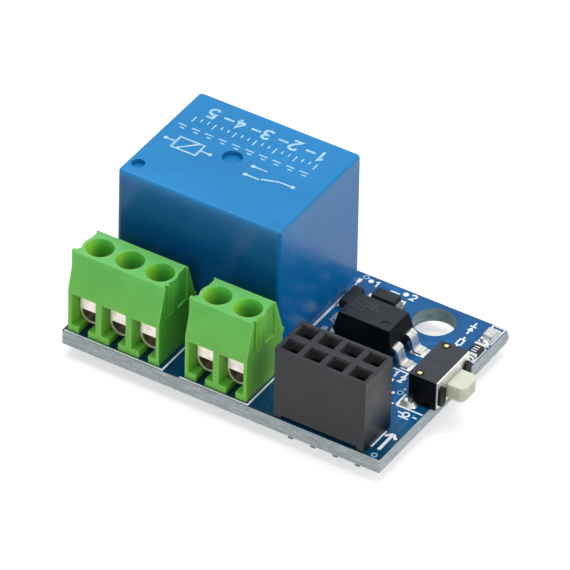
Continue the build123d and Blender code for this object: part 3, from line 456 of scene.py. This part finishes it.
# Painted shade on the three-way terminal's right side
TERMINAL_RIGHT_PAINTED_SHADE = terminal_green("terminal_side_painted_shade", 0.5, shade=0.45)
VIA_FINISH = plain_finish("via_ring", srgb(120, 164, 198), 0.35, patch=0.3)
DULL_SOLDER = metal("dull_solder", srgb(226, 226, 220), 0.5, 0.2, tarnish=srgb(196, 198, 194))
# Painted shade: the switch pins are painted black above the board
PIN_PAINTED_SHADE = matt_black("pin_painted_shade", srgb(8, 9, 10), srgb(16, 17, 18), 0.5)
ETCHING = plain_finish("etching", srgb(70, 76, 80), 0.5, patch=0.4)
# Painted shade for the walls inside the socket
CAVITY_PAINTED_SHADE = matt_black("socket_cavity_painted_shade", srgb(14, 15, 17), srgb(20, 21, 24), 0.5)
# Painted shade for the sides of the optocoupler and the switch, and inside the vias
SIDE_PAINTED_SHADE = matt_black("package_side_painted_shade", srgb(2, 3, 4), srgb(5, 7, 8), 0.5, specular=0.12)
# Painted shade for the switch's studs, lighter than on its sides
STUD_PAINTED_SHADE = matt_black("stud_painted_shade", srgb(7, 6, 7), srgb(14, 13, 14), 0.6)
PLATE_FINISH = metal("plate_steel", srgb(226, 226, 222), 0.36, stretch=(1, 6, 1), tarnish=srgb(196, 198, 196))
TAIL_FINISH = metal("pin_tail", srgb(134, 135, 134), 0.45, stretch=(1, 1, 6), tarnish=srgb(104, 106, 106))
RIM_FINISH = plain_finish("nickel_rim", srgb(226, 216, 198), 0.45, patch=0.6, Metallic=0.4)
RELAY_PRINT = relay_print()
TRACE_FINISH = lacquer("trace_mask", 1.5)
FAINT_TRACE = lacquer("faint_trace", 1.25)

# Each CAD node gets the finish of its material slot
for part in frame["record"]["subparts"]:
    mesh = nodes[part["node"]].data
    mesh.materials.clear()
    mesh.materials.append(FINISHES[part["material_slot"]])


def paint(node, finishes, choose):
    """Gives a CAD node more finishes, after the first, and picks one for each face by a rule."""
    mesh = nodes[node].data
    for finish in finishes:
        mesh.materials.append(finish)
    for polygon in mesh.polygons:
        polygon.material_index = choose(polygon)


def near(polygon, middle, radius):
    """Whether the face's centre lies within radius millimetres of an upright line through middle."""
    return (polygon.center - middle).xy.length < radius * MM


# The small plated holes of the board: their middles, and in millimetres the reach of hole and ring
VIAS = [at(x, y) for x, y in ((32.88, 9.93), (20.62, 23.62), (35.75, 0.42))]
VIA_HOLE = 0.3
VIA_RING = 0.5


def paint_board_edge():
    """The board's cut sides and holes get the bare glass fibre, and the walls of its vias get painted shade.
    """
    skin = 0.05 * MM

    def choose(polygon):
        spot = polygon.center
        if abs(polygon.normal.z) > 0.5:
            return 0
        if any(near(polygon, via, VIA_HOLE) for via in VIAS):
            # Painted shade inside the vias
            return 3
        inside = all(BOARD_LOW[i] + skin < spot[i] < BOARD_HIGH[i] - skin for i in (0, 1))
        return 2 if inside else 1

    paint("circuit_board", [EDGE_FINISH, HOLE_FINISH, SIDE_PAINTED_SHADE], choose)


def paint_cage_rims():
    """The sheared front edges of the clamp cages are brighter and less polished."""
    for number in range(1, 6):
        paint(f"clamp_cage_{number}", [RIM_FINISH], lambda polygon: 1 if polygon.normal.y < -0.7 else 0)


def paint_terminals():
    """The terminals' bores are glossy, and their faces to the right get a painted glow or painted shade.

    The bores above the screws are glossy from the core pins of the mould, and get painted shade and a
    painted glow. The posts between the wire entries get a painted glow, and the three-way terminal's
    right side, which faces the next one, gets painted shade.
    """
    bore_radius = 1.48
    axes = [sum(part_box(f"clamp_screw_{number}"), Vector()) / 2 for number in range(1, 6)]
    for name in ("output_terminal_housing", "supply_terminal_housing"):
        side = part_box(name)[1].x - 0.7 * MM
        gets_painted_shade = name == "output_terminal_housing"

        def choose(polygon):
            if abs(polygon.normal.z) < 0.3 and any(near(polygon, axis, bore_radius) for axis in axes):
                return 1
            if polygon.normal.x > 0.9:
                return 3 if gets_painted_shade and polygon.center.x > side else 2
            return 0

        paint(name, [BORE_GLOSS_AND_PAINTED_LIGHT, POST_PAINTED_GLOW, TERMINAL_RIGHT_PAINTED_SHADE], choose)


def paint_socket_cavities():
    """The walls inside the socket get painted shade, darker than its skin."""
    low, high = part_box("socket_housing")
    skin = 0.2 * MM

    def choose(polygon):
        spot = polygon.center
        return 1 if all(low[i] + skin < spot[i] < high[i] - skin for i in range(3)) else 0

    paint("socket_housing", [CAVITY_PAINTED_SHADE], choose)


def paint_contact_tails():
    """The tails of the socket contacts are tinned and dull below the board."""
    for number in range(1, 9):
        paint(f"socket_contact_{number}", [TAIL_FINISH],
              lambda polygon: 1 if polygon.center.z < BOARD_HIGH.z else 0)


def paint_optocoupler():
    """The sides of the optocoupler get painted shade, far darker than its top."""
    paint("optocoupler_body", [SIDE_PAINTED_SHADE], lambda polygon: 1 if polygon.normal.z < 0.5 else 0)


def paint_switch():
    """The switch's sides and ends get painted shade and its studs a lighter painted shade; its plate is plain
    steel, and its pins are painted black above the board as shade.
    """
    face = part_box("switch_plate")[1].x - 0.05 * MM

    def choose(polygon):
        if polygon.center.x > face:
            return 2
        return 1 if polygon.normal.z < 0.5 else 0

    paint("switch_body", [SIDE_PAINTED_SHADE, STUD_PAINTED_SHADE], choose)
    nodes["switch_plate"].data.materials.clear()
    nodes["switch_plate"].data.materials.append(PLATE_FINISH)
    paint("switch_pins", [PIN_PAINTED_SHADE], lambda polygon: 1 if polygon.center.z > BOARD_HIGH.z else 0)


def paint_pads():
    """The rings round the vias are thinly covered, and so is the land right of the diode.

    The diode's right lead gets the darker, duller grey of the pin tails.
    """
    low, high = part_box("diode_leads")

    def choose(polygon):
        spot = polygon.center
        if spot.z > BOARD_HIGH.z and abs(spot.x - high.x) < 0.6 * MM and low.y < spot.y < high.y:
            return 2
        return 1 if any((spot - via).length < VIA_RING * MM for via in VIAS) else 0

    paint("solder_pads", [VIA_FINISH, FINISHES["board_mask"]], choose)
    middle = (low.x + high.x) / 2
    paint("diode_leads", [TAIL_FINISH], lambda polygon: 1 if polygon.center.x > middle else 0)


paint_board_edge()
paint_cage_rims()
paint_terminals()
paint_socket_cavities()
paint_contact_tails()
paint_optocoupler()
paint_switch()
paint_pads()


# Edges sharper than this are rounded
SHARP = radians(35)


def soften(names, width, segments=2):
    """Rounds the sharp edges of CAD nodes by width millimetres, with modifiers alone."""
    for name in names:
        weld = nodes[name].modifiers.new("weld", "WELD")
        weld.merge_threshold = 1e-7
        bevel = nodes[name].modifiers.new("bevel", "BEVEL")
        bevel.width = width * MM
        bevel.segments = segments
        bevel.limit_method = "ANGLE"
        bevel.angle_limit = SHARP
        bevel.harden_normals = True


soften(["output_terminal_housing", "supply_terminal_housing"], 0.1, 3)
soften(["socket_housing", "optocoupler_body"], 0.06)
soften(["transistor_body", "diode_body", "resistor_body"], 0.03)
soften(["switch_body", "switch_plate"], 0.05)
soften(["switch_plunger"], 0.1, 3)


# Print and copper: low raised shapes

# Plain figures as lines in a field one unit high
DIGITS = {
    "1": [[(0.08, 0.76), (0.36, 1.0), (0.36, 0.0)]],
    "2": [[(0.0, 0.76), (0.08, 0.94), (0.3, 1.0), (0.52, 0.94), (0.6, 0.74), (0.5, 0.5), (0.0, 0.0),
           (0.6, 0.0)]],
    "3": [[(0.02, 0.86), (0.3, 1.0), (0.56, 0.88), (0.56, 0.66), (0.28, 0.53), (0.6, 0.38), (0.58, 0.14),
           (0.3, 0.0), (0.0, 0.12)]],
    "4": [[(0.42, 0.0), (0.42, 1.0), (0.0, 0.32)], [(0.0, 0.32), (0.62, 0.32)]],
    "5": [[(0.55, 1.0), (0.08, 1.0), (0.04, 0.56), (0.3, 0.64), (0.56, 0.5), (0.6, 0.26), (0.42, 0.03),
           (0.18, 0.0), (0.0, 0.12)]],
}


def circle(x, y, radius, segments):
    """Points round a circle."""
    return [(x + radius * cos(2 * pi * i / segments), y + radius * sin(2 * pi * i / segments))
            for i in range(segments)]


class Relief:
    """Low raised shapes on a flat face, gathered into one piece."""

    def __init__(self, name, height, thickness, origin=(0, 0), right=(1, 0), up=(0, 1)):
        self.name = name
        self.height = height
        self.thickness = thickness
        self.origin = Vector(origin)
        self.right = Vector(right)
        self.up = Vector(up)
        self.mesh = bmesh.new()
        self.count = 0

    def spot(self, point, level):
        """A vertex at a point of the flat field, level millimetres above the face."""
        flat = self.origin + self.right * point[0] + self.up * point[1]
        return self.mesh.verts.new(at(flat.x, flat.y, self.height + level))

    def polygon(self, points):
        """A raised field; each is a hair higher than the last, so that no two tops coincide."""
        self.count += 1
        top = self.thickness * (1 + 0.01 * self.count)
        upper = [self.spot(point, top) for point in points]
        lower = [self.spot(point, 0) for point in points]
        self.mesh.faces.new(upper)
        for i in range(len(points)):
            j = (i + 1) % len(points)
            self.mesh.faces.new((lower[i], lower[j], upper[j], upper[i]))

    def stroke(self, points, width, closed=False):
        """A line of one width with mitred corners."""
        line = [Vector(point) for point in points]
        left, right = [], []
        for i, point in enumerate(line):
            before = line[i - 1] if i or closed else None
            after = line[(i + 1) % len(line)] if i + 1 < len(line) or closed else None
            normals = []
            if before is not None:
                normals.append((point - before).normalized().orthogonal())
            if after is not None:
                normals.append((after - point).normalized().orthogonal())
            normal = sum(normals, Vector((0, 0))).normalized()
            reach = width / 2 / max(0.45, normal.dot(normals[0]))
            left.append(point + normal * reach)
            right.append(point - normal * reach)
        if closed:
            left.append(left[0])
            right.append(right[0])
        for i in range(len(left) - 1):
            self.polygon([left[i], left[i + 1], right[i + 1], right[i]])

    def disc(self, x, y, radius, segments=20):
        """A filled circle."""
        self.polygon(circle(x, y, radius, segments))

    def loop(self, x, y, radius, width):
        """A round line."""
        self.stroke(circle(x, y, radius, 20), width, closed=True)

    def frame(self, x0, y0, x1, y1, width):
        """The outline of a rectangle."""
        self.stroke([(x0, y0), (x1, y0), (x1, y1), (x0, y1)], width, closed=True)

    def number(self, digit, x, y, size, width):
        """A plain figure with its lower left corner at x, y."""
        for points in DIGITS[digit]:
            self.stroke([(x + u * size, y + v * size) for u, v in points], width)

    def done(self, material):
        """Puts the shapes in the scene as one piece."""
        bmesh.ops.recalc_face_normals(self.mesh, faces=self.mesh.faces)
        add_piece(self.name, self.mesh, material)


def show(name, data):
    """Puts a mesh in the scene as a piece that rides on the board."""
    piece = bpy.data.objects.new(name, data)
    bpy.context.scene.collection.objects.link(piece)
    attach(piece, "board")
    return piece


def add_piece(name, mesh, material, smooth=False):
    """Turns a bmesh into a piece of the scene."""
    data = bpy.data.meshes.new(name)
    mesh.to_mesh(data)
    mesh.free()
    data.materials.append(material)
    if smooth:
        data.shade_smooth()
    show(name, data)


def stand_in(name, node):
    """A piece with a CAD node's mesh, which takes the node's place on the board."""
    data = nodes[node].data.copy()
    data.name = name
    piece = show(name, data)
    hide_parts(node)
    return piece


# How deep the gate mark is in the relay's solid, and how much deeper it is made here
GATE_DEPTH = 0.08
GATE_DEEPER = 0.42


def relay_cover_skin():
    """The relay's cover with the gate mark on top as deep as it is in the photo."""
    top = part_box("relay_cover")[1].z
    for vertex in stand_in("relay_cover_skin", "relay_cover").data.vertices:
        if abs(top - vertex.co.z - GATE_DEPTH * MM) < 0.003 * MM:
            vertex.co.z -= GATE_DEEPER * MM


def snap_dome():
    """The push button's dome, as a piece with a mesh of its own in place of the CAD node."""
    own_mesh(stand_in("dome_spring", "switch_dome"))


def optocoupler_marks():
    """Faint etched ticks in three short rows on the optocoupler."""
    low, high = board_box("optocoupler_body")
    marks = Relief("optocoupler_marks", high.z, 0.008)
    for row, count in ((0, 6), (1, 7), (2, 4)):
        y = high.y - 1.35 - 0.62 * row
        for i in range(count):
            x = low.x + 0.75 + 0.42 * i
            marks.stroke([(x, y), (x + 0.24, y + 0.1 * ((i + row) % 3))], 0.06)
            marks.stroke([(x + 0.02, y + 0.3), (x + 0.2, y + 0.34)], 0.05)
    marks.done(ETCHING)


def relay_diagram():
    """A generic wiring diagram on the relay: a coil, a changeover contact and plain pin numbers.

    It reads from the back of the board, as print on such a relay does.
    """
    top = board_box("relay_cover")[1].z
    marks = Relief("relay_diagram", top, 0.012, origin=(18.1, 21.3), right=(-1, 0), up=(0, -1))
    # Numbers with dashes between them
    for i, digit in enumerate("12345"):
        marks.number(digit, 0.7 + 3.15 * i, 0.05, 1.45, 0.29)
        if i:
            marks.stroke([(3.15 * i - 1.25, 0.75), (3.15 * i - 0.15, 0.75)], 0.27)
    # A ruler of ticks, every third one taller, and two broken lines
    for i in range(19):
        tall = 0.9 if i % 3 == 0 else 0.5
        marks.stroke([(0.8 + 0.78 * i, 2.15), (0.8 + 0.78 * i, 2.15 + tall)], 0.15)
    for i in range(10):
        x = 0.8 + 1.56 * i
        marks.stroke([(x, 3.95), (x + 0.95, 3.95)], 0.16)
        marks.stroke([(x, 4.4), (x + 0.5, 4.4)], 0.16)
    # Coil on the left as seen from the front
    marks.frame(11.6, 5.7, 14.4, 7.5, 0.2)
    marks.stroke([(12.2, 5.8), (13.8, 7.4)], 0.2)
    for start, end in ((10.6, 11.5), (14.5, 15.4)):
        marks.stroke([(start, 6.6), (end, 6.6)], 0.2)
    for x in (10.45, 15.55):
        marks.disc(x, 6.6, 0.24)
    # Changeover contact on the right
    marks.disc(0.9, 6.6, 0.24)
    marks.stroke([(1.1, 6.6), (2.4, 6.6), (4.2, 7.2)], 0.2)
    for y in (5.85, 7.35):
        marks.stroke([(4.3, y), (5.7, y)], 0.2)
        marks.disc(5.9, y, 0.24)
    marks.done(RELAY_PRINT)


def board_marks():
    """Small plain marks beside the parts: symbols, bars and numbers."""
    marks = Relief("board_marks", 0.0, 0.03)
    fine = 0.17
    # Push button: a ring between two bars
    marks.loop(35.1, 7.35, 0.33, fine)
    for x in (34.2, 35.85):
        marks.stroke([(x, 7.35), (x + 0.45, 7.35)], fine)
    marks.stroke([(34.55, 6.8), (35.65, 6.8)], fine)
    # Lamp: triangle, bar and leads
    marks.stroke([(33.55, 21.35), (33.55, 21.95)], fine)
    marks.polygon([(33.2, 21.95), (33.9, 21.95), (33.55, 22.55)])
    marks.stroke([(33.2, 22.66), (33.9, 22.66)], fine)
    marks.stroke([(33.55, 22.74), (33.55, 23.35)], fine)
    # Lamp: the line on its left and the line between it and the resistor
    marks.stroke([(35.12, 21.0), (35.12, 24.0)], fine)
    marks.stroke([(35.55, 20.72), (36.5, 20.72)], 0.12)
    # Resistor: frame and leads
    marks.frame(33.45, 19.45, 33.95, 20.35, fine)
    marks.stroke([(33.7, 18.95), (33.7, 19.37)], fine)
    marks.stroke([(33.7, 20.43), (33.7, 20.85)], fine)
    # Between the socket and the optocoupler: plain numbers and a small frame
    marks.number("1", 30.75, 11.75, 0.85, fine)
    marks.number("2", 31.7, 11.35, 0.85, fine)
    marks.frame(30.55, 10.75, 31.25, 11.3, fine)
    # Behind the diode and the transistor: a dot and a number each
    marks.disc(25.35, 23.4, 0.3)
    marks.number("2", 26.0, 22.9, 0.85, fine)
    marks.disc(21.35, 23.3, 0.28)
    marks.number("1", 21.85, 22.75, 0.85, fine)
    # Push button: the left side of the line round it
    marks.stroke([(33.48, 8.2), (33.48, 10.0)], fine)
    # A line behind the diode and a tick beside the transistor
    marks.stroke([(23.75, 23.08), (24.8, 23.08)], fine)
    marks.stroke([(20.84, 18.2), (21.21, 18.2)], fine)
    # The line along the relay goes on to the front
    marks.stroke([(20.29, 11.4), (20.29, 19.6)], 0.26)
    # Round marks left of the switch
    marks.disc(32.3, 9.56, 0.19, 12)
    for x, y in ((33.12, 8.13), (33.0, 10.6)):
        marks.disc(x, y, 0.11, 12)
    marks.done(FINISHES["print_white"])


def traces_above():
    """Copper under the lacquer on top, plainest at the front right corner."""
    faint = [
        (0.3, [(31.4, 16.47), (33.2, 16.47), (34.0, 17.3), (34.0, 18.3), (34.8, 19.1), (35.7, 19.1)]),
        (0.3, [(31.4, 13.93), (32.4, 13.93), (33.0, 13.3), (33.0, 10.0)]),
        (0.3, [(21.6, 16.47), (22.6, 17.4), (22.6, 18.2)]),
        (0.3, [(21.6, 13.93), (20.9, 13.2), (20.9, 9.2), (23.2, 7.0), (23.2, 1.0), (24.6, 0.45),
               (35.7, 0.42)]),
        (0.5, [(20.6, 23.5), (22.5, 23.5), (24.0, 23.5), (26.4, 21.3)]),
        (0.5, [(26.6, 21.1), (27.2, 20.5), (27.2, 18.9), (29.0, 17.6), (31.0, 17.6), (34.6, 21.2),
               (35.8, 21.2)]),
        (0.3, [(22.5, 19.4), (23.6, 20.4), (23.6, 21.1)]),
        (0.3, [(22.4, 7.6), (24.0, 7.6), (29.5, 7.6), (31.6, 7.0), (34.2, 7.0)]),
        (0.3, [(22.0, 8.4), (24.0, 8.4), (29.2, 8.4), (31.8, 8.4), (32.6, 9.2)]),
    ]
    clear = [
        (0.3, [(35.75, 0.6), (35.75, 8.0), (34.8, 8.9)]),
        (0.3, [(34.95, 0.9), (34.95, 6.6), (34.0, 7.6), (32.9, 8.7), (32.9, 9.8)]),
    ]
    for name, routes, finish in (("traces_above", faint, FAINT_TRACE),
                                 ("traces_at_corner", clear, TRACE_FINISH)):
        copper = Relief(name, 0.0, 0.022)
        for width, points in routes:
            copper.stroke(points, width)
        copper.done(finish)


def traces_below():
    """Wide copper from the relay's contacts to its terminals, and thin tracks, under the board."""
    bottom = -(BOARD_HIGH.z - BOARD_LOW.z) / MM
    copper = Relief("traces_below", bottom, -0.03)
    wide = [
        (2.4, [(18.2, 15.43), (10.0, 15.43), (5.75, 11.0), (5.75, 3.38)]),
        (2.4, [(4.0, 21.4), (2.2, 19.6), (2.2, 3.38)]),
        (2.4, [(4.0, 9.5), (9.2, 7.6), (9.25, 3.38)]),
    ]
    thin = [
        (0.5, [(16.3, 21.4), (22.0, 21.4), (24.0, 19.4), (24.0, 17.0), (26.0, 15.0)]),
        (0.5, [(16.3, 9.5), (19.4, 9.5), (19.4, 3.38)]),
        (0.9, [(15.9, 3.38), (15.9, 1.1), (22.6, 1.1), (24.2, 1.4), (25.76, 1.4)]),
        (0.9, [(19.4, 3.38), (22.0, 5.9), (24.0, 6.6), (33.4, 6.6), (33.4, 3.9)]),
        (0.35, [(28.3, 1.4), (28.3, 2.4), (31.6, 7.6), (34.75, 8.85)]),
        (0.35, [(30.84, 3.9), (30.84, 5.6), (33.2, 8.0), (33.2, 14.6), (34.75, 15.85)]),
        (0.35, [(25.76, 3.9), (25.76, 9.4), (24.6, 10.6), (24.6, 13.4)]),
        (0.35, [(33.38, 1.4), (35.75, 1.4), (35.75, 0.6)]),
    ]
    for width, points in wide + thin:
        copper.stroke(points, width)
    copper.done(TRACE_FINISH)


# Solder on top of the board

# Shares of a solder puddle's reach and height, from its foot up its hollow flanks
MOUND_PROFILE = [(1.0, 0.0), (0.93, 0.1), (0.84, 0.26), (0.74, 0.5), (0.62, 0.74), (0.45, 0.92), (0.22, 1.0)]


def mound(mesh, x, y, length, width, height, base=0.04, square=3.5):
    """A frozen puddle of solder; the higher square is, the squarer its foot."""
    segments = 28
    rings = []
    for reach, rise in MOUND_PROFILE:
        ring = []
        for i in range(segments):
            angle = 2 * pi * i / segments
            c, s = cos(angle), sin(angle)
            stretch = reach / (abs(c) ** square + abs(s) ** square) ** (1 / square)
            ring.append(mesh.verts.new(at(x + c * stretch * length / 2, y + s * stretch * width / 2,
                                          base + rise * height)))
        rings.append(ring)
    for low, high in zip(rings, rings[1:]):
        for i in range(segments):
            j = (i + 1) % segments
            mesh.faces.new((low[i], low[j], high[j], high[i]))
    mesh.faces.new(rings[-1])


def solder_fillets():
    """Solder round the feet of the surface parts, duller left of the optocoupler and at the switch."""
    mesh = bmesh.new()
    dull = bmesh.new()
    low, high = board_box("optocoupler_leads")
    for x, puddle in ((low.x + 0.36, dull), (high.x - 0.36, mesh)):
        for y in (low.y + 0.6, high.y - 0.6):
            mound(puddle, x, y, 1.36, 1.46, 0.1)
    low, high = board_box("diode_leads")
    mound(mesh, low.x + 0.16, (low.y + high.y) / 2, 0.76, 0.98, 0.13)
    low, high = board_box("transistor_leads")
    for y in (low.y + 0.21, high.y - 0.21):
        mound(mesh, low.x + 0.2, y, 0.58, 0.6, 0.14)
    mound(mesh, high.x - 0.1, (low.y + high.y) / 2 + 0.2, 0.75, 1.4, 0.24)
    for name in ("resistor_body", "lamp_base"):
        low, high = board_box(name)
        for y in (low.y, high.y):
            mound(mesh, (low.x + high.x) / 2, y, high.x - low.x, 0.56, 0.3)
    add_piece("solder_fillets", mesh, FINISHES["solder"], smooth=True)
    low, high = board_box("switch_pins")
    for y in (low.y + 0.3, high.y - 0.3):
        mound(dull, low.x - 0.05, y, 1.9, 1.3, 0.65, 0.0, 2.2)
    add_piece("dull_fillets", dull, DULL_SOLDER, smooth=True)


def lamp_inside():
    """The lamp's two lead plates and its chip, inside the clear cap."""
    low, high = board_box("lamp_base")
    x = (low.x + high.x) / 2
    y = (low.y + high.y) / 2
    plates = Relief("lamp_plates", high.z, 0.02)
    plates.polygon([(x - 0.4, y - 0.58), (x + 0.4, y - 0.58), (x + 0.4, y - 0.1), (x + 0.06, y - 0.1),
                    (x - 0.16, y + 0.14), (x - 0.4, y + 0.14)])
    plates.polygon([(x - 0.4, y + 0.3), (x - 0.06, y + 0.3), (x + 0.18, y + 0.06), (x + 0.4, y + 0.06),
                    (x + 0.4, y + 0.58), (x - 0.4, y + 0.58)])
    plates.done(FINISHES["tinned_pin"])
    chip = Relief("lamp_chip", high.z + 0.02, 0.1)
    chip.polygon([(x - 0.34, y - 0.4), (x - 0.08, y - 0.4), (x - 0.08, y - 0.14), (x - 0.34, y - 0.14)])
    chip.done(FINISHES["lamp_white"])


def resistor_marks():
    """Three plain pale bars across the top of the resistor."""
    low, high = board_box("resistor_body")
    x = (low.x + high.x) / 2
    y = (low.y + high.y) / 2
    marks = Relief("resistor_marks", high.z, 0.01)
    for step in (-1, 0, 1):
        marks.stroke([(x - 0.3, y + step * 0.36), (x + 0.3, y + step * 0.36)], 0.12)
    marks.done(FINISHES["print_white"])


def back_edge_ridge():
    """Where the board was broken from its panel, its back edge keeps a low rough ridge."""
    low, high = board_box("circuit_board")
    mesh = bmesh.new()
    # How far the ridge stands out, and how far below the top face, round its section
    section = [(0.0, -0.15), (0.42, -1.1), (0.45, -1.3), (0.0, -1.55)]
    steps = 60
    rings = []
    for i in range(steps + 1):
        x = low.x + 0.02 + (high.x - low.x - 0.04) * i / steps
        swell = 1 + 0.06 * sin(i * 1.7) + 0.05 * sin(i * 0.61 + 1)
        rings.append([mesh.verts.new(at(x, high.y - 0.02 + out * swell, z)) for out, z in section])
    for first, second in zip(rings, rings[1:]):
        for i in range(len(section) - 1):
            mesh.faces.new((first[i], second[i], second[i + 1], first[i + 1]))
        mesh.faces.new((first[-1], second[-1], second[0], first[0]))
    mesh.faces.new(list(reversed(rings[0])))
    mesh.faces.new(rings[-1])
    bmesh.ops.recalc_face_normals(mesh, faces=mesh.faces)
    add_piece("back_edge_ridge", mesh, EDGE_FINISH)


relay_cover_skin()
snap_dome()
optocoupler_marks()
relay_diagram()
board_marks()
traces_above()
traces_below()
solder_fillets()
lamp_inside()
resistor_marks()
back_edge_ridge()


# Stage: floor, lights and camera

def seen_rays(tree):
    """1 for rays from the camera, off gloss and through glass, 0 for rays that light the object."""
    rays = tree.nodes.new("ShaderNodeLightPath")
    seen = rays.outputs["Is Camera Ray"]
    for label in ("Is Glossy Ray", "Is Transmission Ray"):
        either = tree.nodes.new("ShaderNodeMath")
        either.operation = "MAXIMUM"
        tree.links.new(seen, either.inputs[0])
        tree.links.new(rays.outputs[label], either.inputs[1])
        seen = either.outputs[0]
    return seen


# How brightly the floor shines where it is seen, and the level of the light from all round
FLOOR_GLOW = 0.6
SKY_LEVEL = 0.4


def stage_floor():
    """A pale floor that the camera and polished surfaces see as white, with the object's shadow on it."""
    mesh = bpy.data.meshes.new("floor")
    half = 3.0
    corners = [(-half, -half, 0), (half, -half, 0), (half, half, 0), (-half, half, 0)]
    mesh.from_pydata(corners, [], [(0, 1, 2, 3)])
    floor = bpy.data.objects.new("floor", mesh)
    bpy.context.scene.collection.objects.link(floor)
    finish = Finish("floor", roughness=0.9, specular=0.0)
    patches = finish.noise(60.0, 2.0)
    finish.colour(finish.ramp(patches, (0.3, srgb(188, 189, 190)), (0.7, srgb(193, 194, 195))))
    glow = finish.tree.nodes.new("ShaderNodeMath")
    glow.operation = "MULTIPLY"
    glow.inputs[1].default_value = FLOOR_GLOW
    finish.link(seen_rays(finish.tree), glow.inputs[0])
    finish.shader.inputs["Emission Color"].default_value = WHITE
    finish.link(glow.outputs[0], finish.shader.inputs["Emission Strength"])
    mesh.materials.append(finish.material)


# How far the lamps stand from the object, in metres
LAMP_DISTANCE = 0.6


def area_light(name, size, power, azimuth, elevation):
    """A square soft light that looks at the object from degrees round and above it."""
    azimuth, elevation = radians(azimuth), radians(elevation)
    light = bpy.data.lights.new(name, "AREA")
    light.size = size
    light.energy = power
    lamp = bpy.data.objects.new(name, light)
    direction = Vector((sin(azimuth) * cos(elevation), -cos(azimuth) * cos(elevation), sin(elevation)))
    lamp.location = TARGET + direction * LAMP_DISTANCE
    lamp.rotation_euler = direction.to_track_quat("Z", "Y").to_euler()
    bpy.context.scene.collection.objects.link(lamp)


# The camera was fitted to the photo: what it looks at, degrees round and above that, roll and distance
TARGET = Vector((-0.001899, 0.00066, 0.008))
CAMERA_AZIMUTH = radians(31.19)
CAMERA_ELEVATION = radians(38.239)
CAMERA_ROLL = radians(1.371)
CAMERA_DISTANCE = 0.764352
FOCAL_PIXELS = 7803.94
IMAGE_PIXELS = 570
SENSOR = 36.0


def camera():
    """The camera of the photo, turned about its line of sight by the roll."""
    back = Vector((sin(CAMERA_AZIMUTH) * cos(CAMERA_ELEVATION),
                   -cos(CAMERA_AZIMUTH) * cos(CAMERA_ELEVATION), sin(CAMERA_ELEVATION)))
    right = Vector((0, 0, 1)).cross(back).normalized()
    up = back.cross(right)
    turned_right = right * cos(CAMERA_ROLL) + up * sin(CAMERA_ROLL)
    turned_up = up * cos(CAMERA_ROLL) - right * sin(CAMERA_ROLL)
    lens = bpy.data.cameras.new("camera")
    lens.sensor_width = SENSOR
    lens.lens = SENSOR * FOCAL_PIXELS / IMAGE_PIXELS
    lens.clip_start = 0.01
    eye = bpy.data.objects.new("camera", lens)
    turn = Matrix((turned_right, turned_up, back)).transposed()
    eye.matrix_world = Matrix.Translation(TARGET + back * CAMERA_DISTANCE) @ turn.to_4x4()
    bpy.context.scene.collection.objects.link(eye)
    bpy.context.scene.camera = eye


def world():
    """Even light from all round, seen as white."""
    sky = bpy.data.worlds.new("world")
    sky.use_nodes = True
    background = sky.node_tree.nodes["Background"]
    background.inputs["Color"].default_value = WHITE
    level = sky.node_tree.nodes.new("ShaderNodeMapRange")
    level.inputs["To Min"].default_value = SKY_LEVEL
    level.inputs["To Max"].default_value = 1.0
    sky.node_tree.links.new(seen_rays(sky.node_tree), level.inputs["Value"])
    sky.node_tree.links.new(level.outputs["Result"], background.inputs["Strength"])
    bpy.context.scene.world = sky


stage_floor()
world()
area_light("top_softbox", size=0.45, power=3.0, azimuth=211, elevation=80)
area_light("side_softbox", size=0.4, power=1.2, azimuth=100, elevation=35)
area_light("front_softbox", size=0.4, power=0.7, azimuth=0, elevation=28)
camera()
bpy.context.scene.view_settings.view_transform = "Standard"
